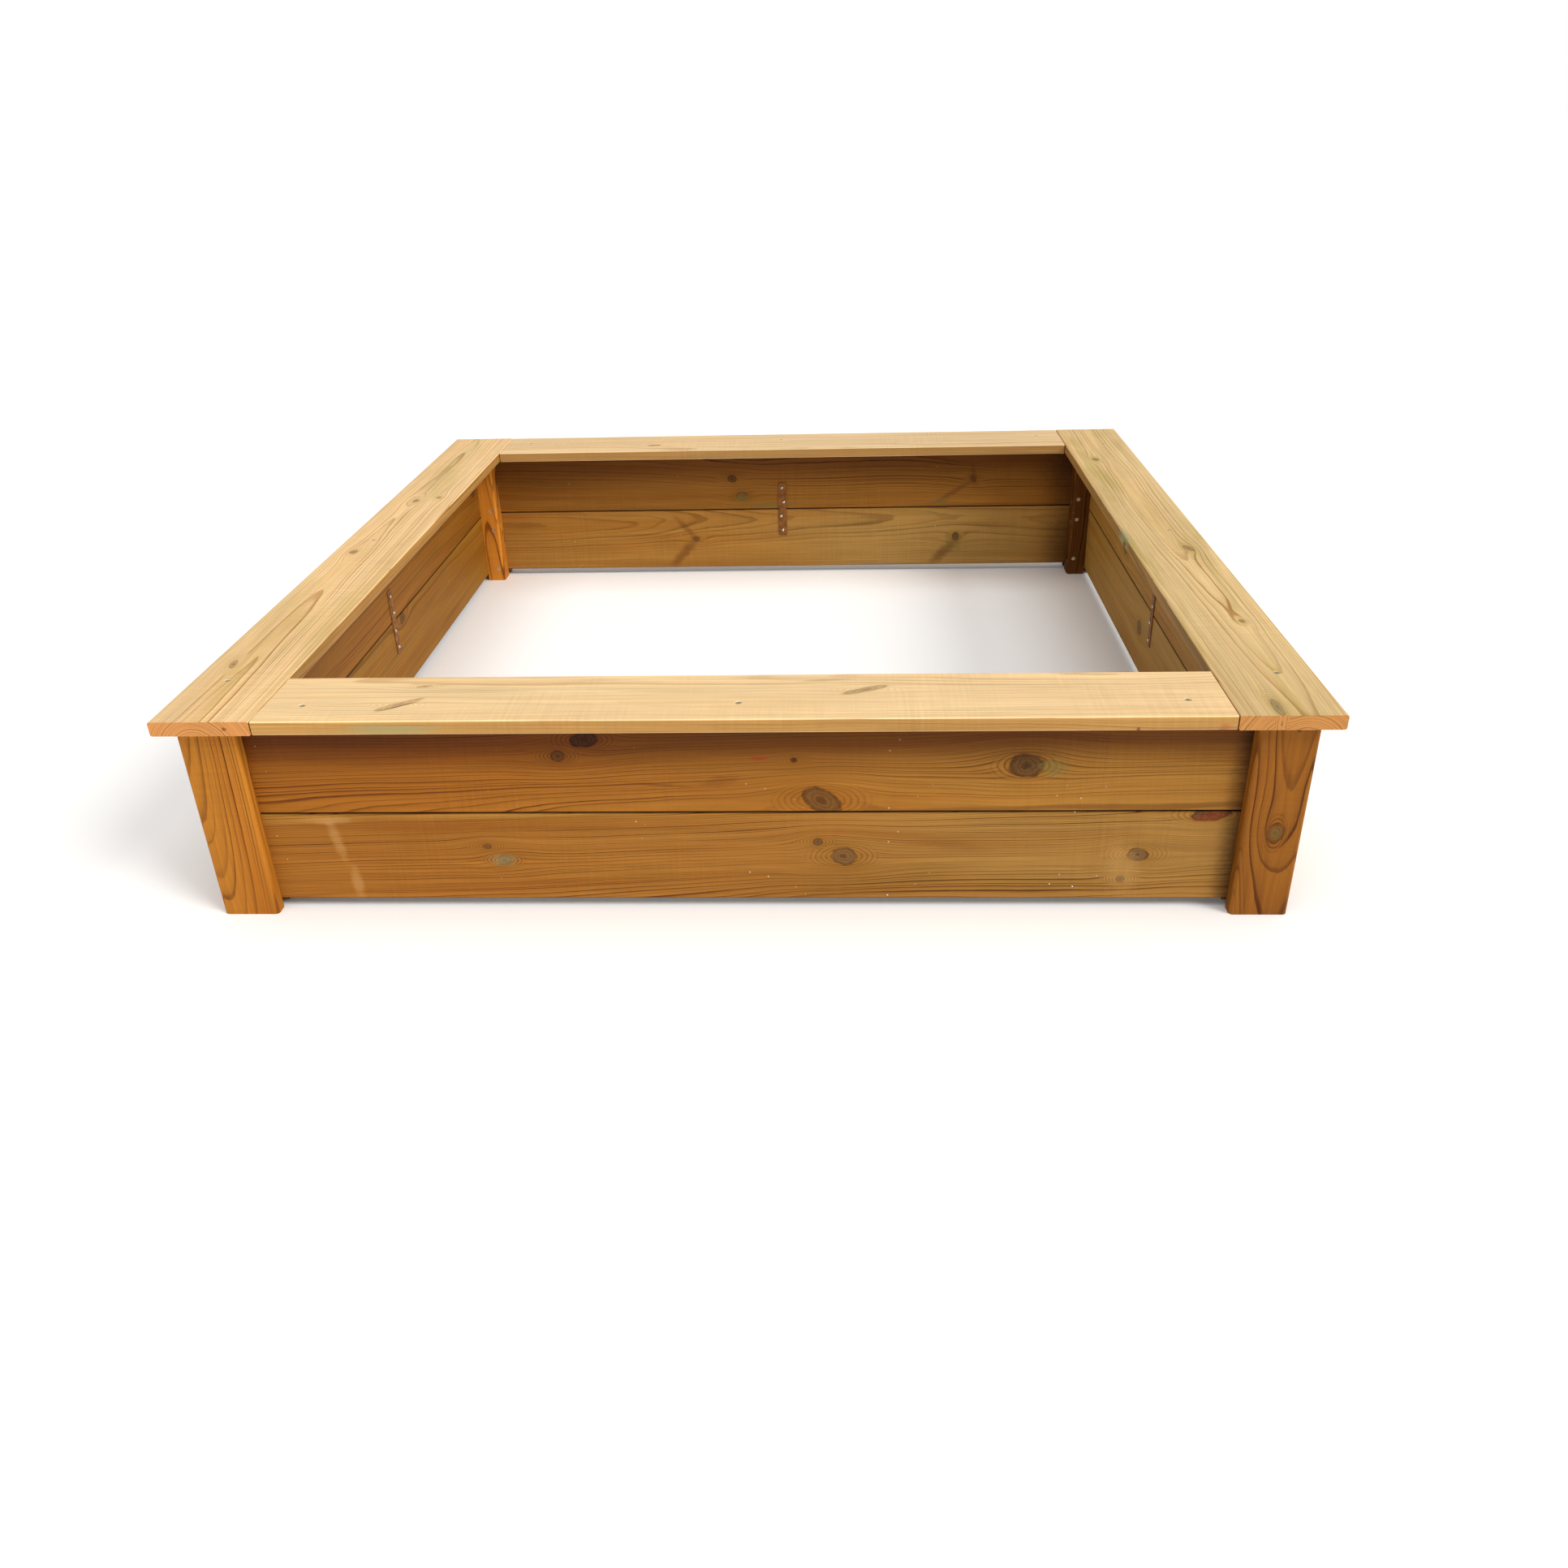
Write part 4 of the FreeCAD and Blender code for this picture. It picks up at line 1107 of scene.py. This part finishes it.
WOOD_SCREW = make_screw_tree("wood screw", [
    (0.0045, 0.0), (0.0044, -0.0003), (0.0025, -0.0022), (0.0025, -0.053), (0.0001, -0.060),
], 24, 0.0020, 0.0016)
STRAP_HEAD = 0.0024
STRAP_SCREW = make_screw_tree("strap screw", [
    (0.0012, 0.0024), (0.0023, 0.0022), (0.0031, 0.0016), (0.0036, 0.0008), (0.0037, 0.0001),
    (0.0018, -0.0001), (0.0018, -0.012), (0.0001, -0.016),
], 20, 0.0013, 0.0012)
print("screw recipes ready")

# %% [markdown]
# ## Metal finishes
#
# The straps are thin steel with a brown coat, dulled by dust. The screws are
# zinc plated: bright, slightly yellow and cloudy. In both, noise drives colour and roughness together,
# because a dull patch on metal is darker and rougher at once.

# %% Metals
def metal_finish(name, clean, dull, metallic, smooth, rough, scale):
    material, g = new_material(name)
    place = g.add("ShaderNodeTexCoord")["Object"]
    cloud = g.step(g.noise(place, scale, 4.0, 0.6), 0.35, 0.68)
    scratch = g.noise(place * (3.0, 3.0, 40.0), scale)
    shade(g, {
        "Base Color": g.scaled(g.mix(cloud, clean, dull), scratch * 0.3 + 0.85),
        "Roughness": cloud * (rough - smooth) + smooth, "Metallic": metallic, "Specular IOR Level": 0.2,
        "Normal": g.add("ShaderNodeBump", {"Height": scratch, "Strength": 0.15, "Distance": 0.0003}),
    })
    return material


STRAP_COAT = metal_finish("brown_coated_steel", srgb(140, 88, 36), srgb(112, 66, 24), 0.0, 0.45, 0.65, 90.0)
ZINC = metal_finish("zinc_plated_screw", srgb(214, 206, 186), srgb(176, 162, 132), 0.75, 0.34, 0.5, 300.0)
BRIGHT_ZINC = metal_finish(
    "bright_zinc_screw", srgb(226, 220, 206), srgb(186, 176, 152), 1.0, 0.25, 0.45, 300.0
)

# %% Put the screws in
screws = {}
for number, (node, facing) in enumerate(screw_rows.items()):
    strap = node.startswith("strap")
    places = [head - facing * STRAP_HEAD for head in heads[node]] if strap else heads[node]
    tree, finish = (STRAP_SCREW, BRIGHT_ZINC) if strap else (WOOD_SCREW, ZINC)
    holder = holder_for(tree, {"Seed": number, "Finish": finish}, Matrix.Identity(4), places, facing)
    screws[node] = taken_from(holder, f"{node}_turned")
print("screw pieces:", len(screws), "first has", len(screws["seat_screws_front"].data.polygons), "faces")

# %% [markdown]
# ## The straps
#
# A strap is a small plate with round corners. Its section, seen from the front, is swept through its own
# thickness, and the holes are drilled where the screws go.

# %% Strap recipe
def make_strap_tree():
    g, given = new_group("steel strap", "GeometryNodeTree", {
        GEOMETRY: "Geometry", NUMBER: "Length, Width, Thickness, Corner, Hole", MATERIAL: "Finish",
    }, {GEOMETRY: "Geometry"})
    half = given["Thickness"] * 0.5
    start = g.combine(0.0, 0.0, half * -1.0)
    path = g.add("GeometryNodeCurvePrimitiveLine", {"Start": start, "End": g.combine(0.0, 0.0, half)})
    level = g.add("GeometryNodeSetCurveNormal", {"Curve": path}, mode="Z_UP")
    plate = eased_plate(g, given["Length"], given["Width"], given["Corner"], 6)
    drill = g.add("GeometryNodeMeshCylinder", {
        "Vertices": CUTTER_SEGMENTS, "Radius": given["Hole"], "Depth": given["Thickness"] * 4.0,
    })
    holes = g.add("GeometryNodeInstanceOnPoints", {"Points": given["Geometry"], "Instance": drill})
    real = g.add("GeometryNodeRealizeInstances", {"Geometry": holes})
    return hand_out(g, without(g, swept(g, level, plate), real), given["Finish"])


STRAP = make_strap_tree()
STRAP_CORNER = 0.002
STRAP_HOLE = 0.0019
ROLLED_EDGE = 0.0004
straps = {}
for turns, side in enumerate(SIDES):
    bench = Bench(f"strap_{side}", (0, 0, 1), quarter(turns, (0, 1, 0)))
    to_bench = bench.place.inverted()
    points = [to_bench @ head for head in heads[f"strap_screws_{side}"]]
    holder = holder_for(STRAP, {
        "Length": bench.length, "Width": bench.width, "Thickness": bench.thickness,
        "Corner": STRAP_CORNER, "Hole": STRAP_HOLE, "Finish": STRAP_COAT,
    }, bench.place, [(point.x, point.y, 0.0) for point in points])
    edge = holder.modifiers.new("rolled edge", "BEVEL")
    edge.width = ROLLED_EDGE
    edge.segments = 2
    edge.limit_method = "ANGLE"
    edge.angle_limit = math.radians(50)
    straps[f"strap_{side}"] = taken_from(holder, f"strap_{side}_steel")
print("straps:", len(straps))

# %% [markdown]
# ## Hand the pieces over
#
# Each visible piece stands for one node of the exact model, and rides on its body.

# %% Tie the pieces to the exact model
(BODY,) = frame["bodies"]
for node, piece in {**timbers, **screws, **straps}.items():
    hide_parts(node)
    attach(piece, BODY)
left_over = [name for name, node in frame["nodes"].items() if not node.hide_render]
print("nodes still shown as they are:", left_over)

# %% [markdown]
# ## Floor and light
#
# Garden furniture is shown on a white sheet under large soft lamps. A big lamp overhead makes the seats the
# brightest faces, a smaller one from the front right gives the posts their shadows, and the pale floor
# throws light back up at the walls. The sky is dim overhead and white at the horizon, so that the floor
# has no edge.

# %% Stage
FLOOR_SIDE = 60.0

floor_mesh = bpy.data.meshes.new("floor")
half = FLOOR_SIDE / 2
floor_corners = [(x * half, y * half, 0.0) for x, y in ((-1, -1), (1, -1), (1, 1), (-1, 1))]
floor_mesh.from_pydata(floor_corners, [], [(0, 1, 2, 3)])
floor = linked("floor", floor_mesh)
paper, g = new_material("white_paper")
shade(g, {"Base Color": (0.96, 0.96, 0.96, 1.0), "Roughness": 0.9, "Specular IOR Level": 0.0})
floor_mesh.materials.append(paper)

SKY = 0.26
HORIZON = 1.0
SKY_FROM = 0.42
HORIZON_TO = 0.24

world = bpy.data.worlds.new("studio")
bpy.context.scene.world = world
world.use_nodes = True
world.node_tree.nodes.clear()
sky = Graph(world.node_tree)
height = sky.separate(sky.add("ShaderNodeTexCoord")["Generated"])[2]
strength = sky.step(height, SKY_FROM, HORIZON_TO) * (HORIZON - SKY) + SKY
glow = sky.add("ShaderNodeBackground", {"Color": (1.0, 1.0, 1.0, 1.0), "Strength": strength})
sky.add("ShaderNodeOutputWorld", {"Surface": glow})


def distant_lamp(name, azimuth, elevation, softness, strength, colour):
    """A far lamp. Azimuth is measured from the front towards the right, all angles in degrees."""
    data = bpy.data.lights.new(name, "SUN")
    data.angle = math.radians(softness)
    data.energy = strength
    data.color = colour
    light = linked(name, data)
    turn, rise = math.radians(azimuth), math.radians(elevation)
    towards = Vector((math.sin(turn) * math.cos(rise), -math.cos(turn) * math.cos(rise), math.sin(rise)))
    light.rotation_euler = towards.to_track_quat("Z", "Y").to_euler()


distant_lamp("overhead", 0.0, 78.0, 60.0, 1.65, (1.0, 0.99, 0.97))
distant_lamp("key", 59.0, 38.0, 24.0, 1.90, (1.0, 0.98, 0.94))
bpy.context.scene.view_settings.view_transform = "Standard"

# %% [markdown]
# ## The last update
#
# The visible model must not outgrow the exact one. The scene is updated once more at the end.

# %% Finish
bpy.context.view_layer.update()
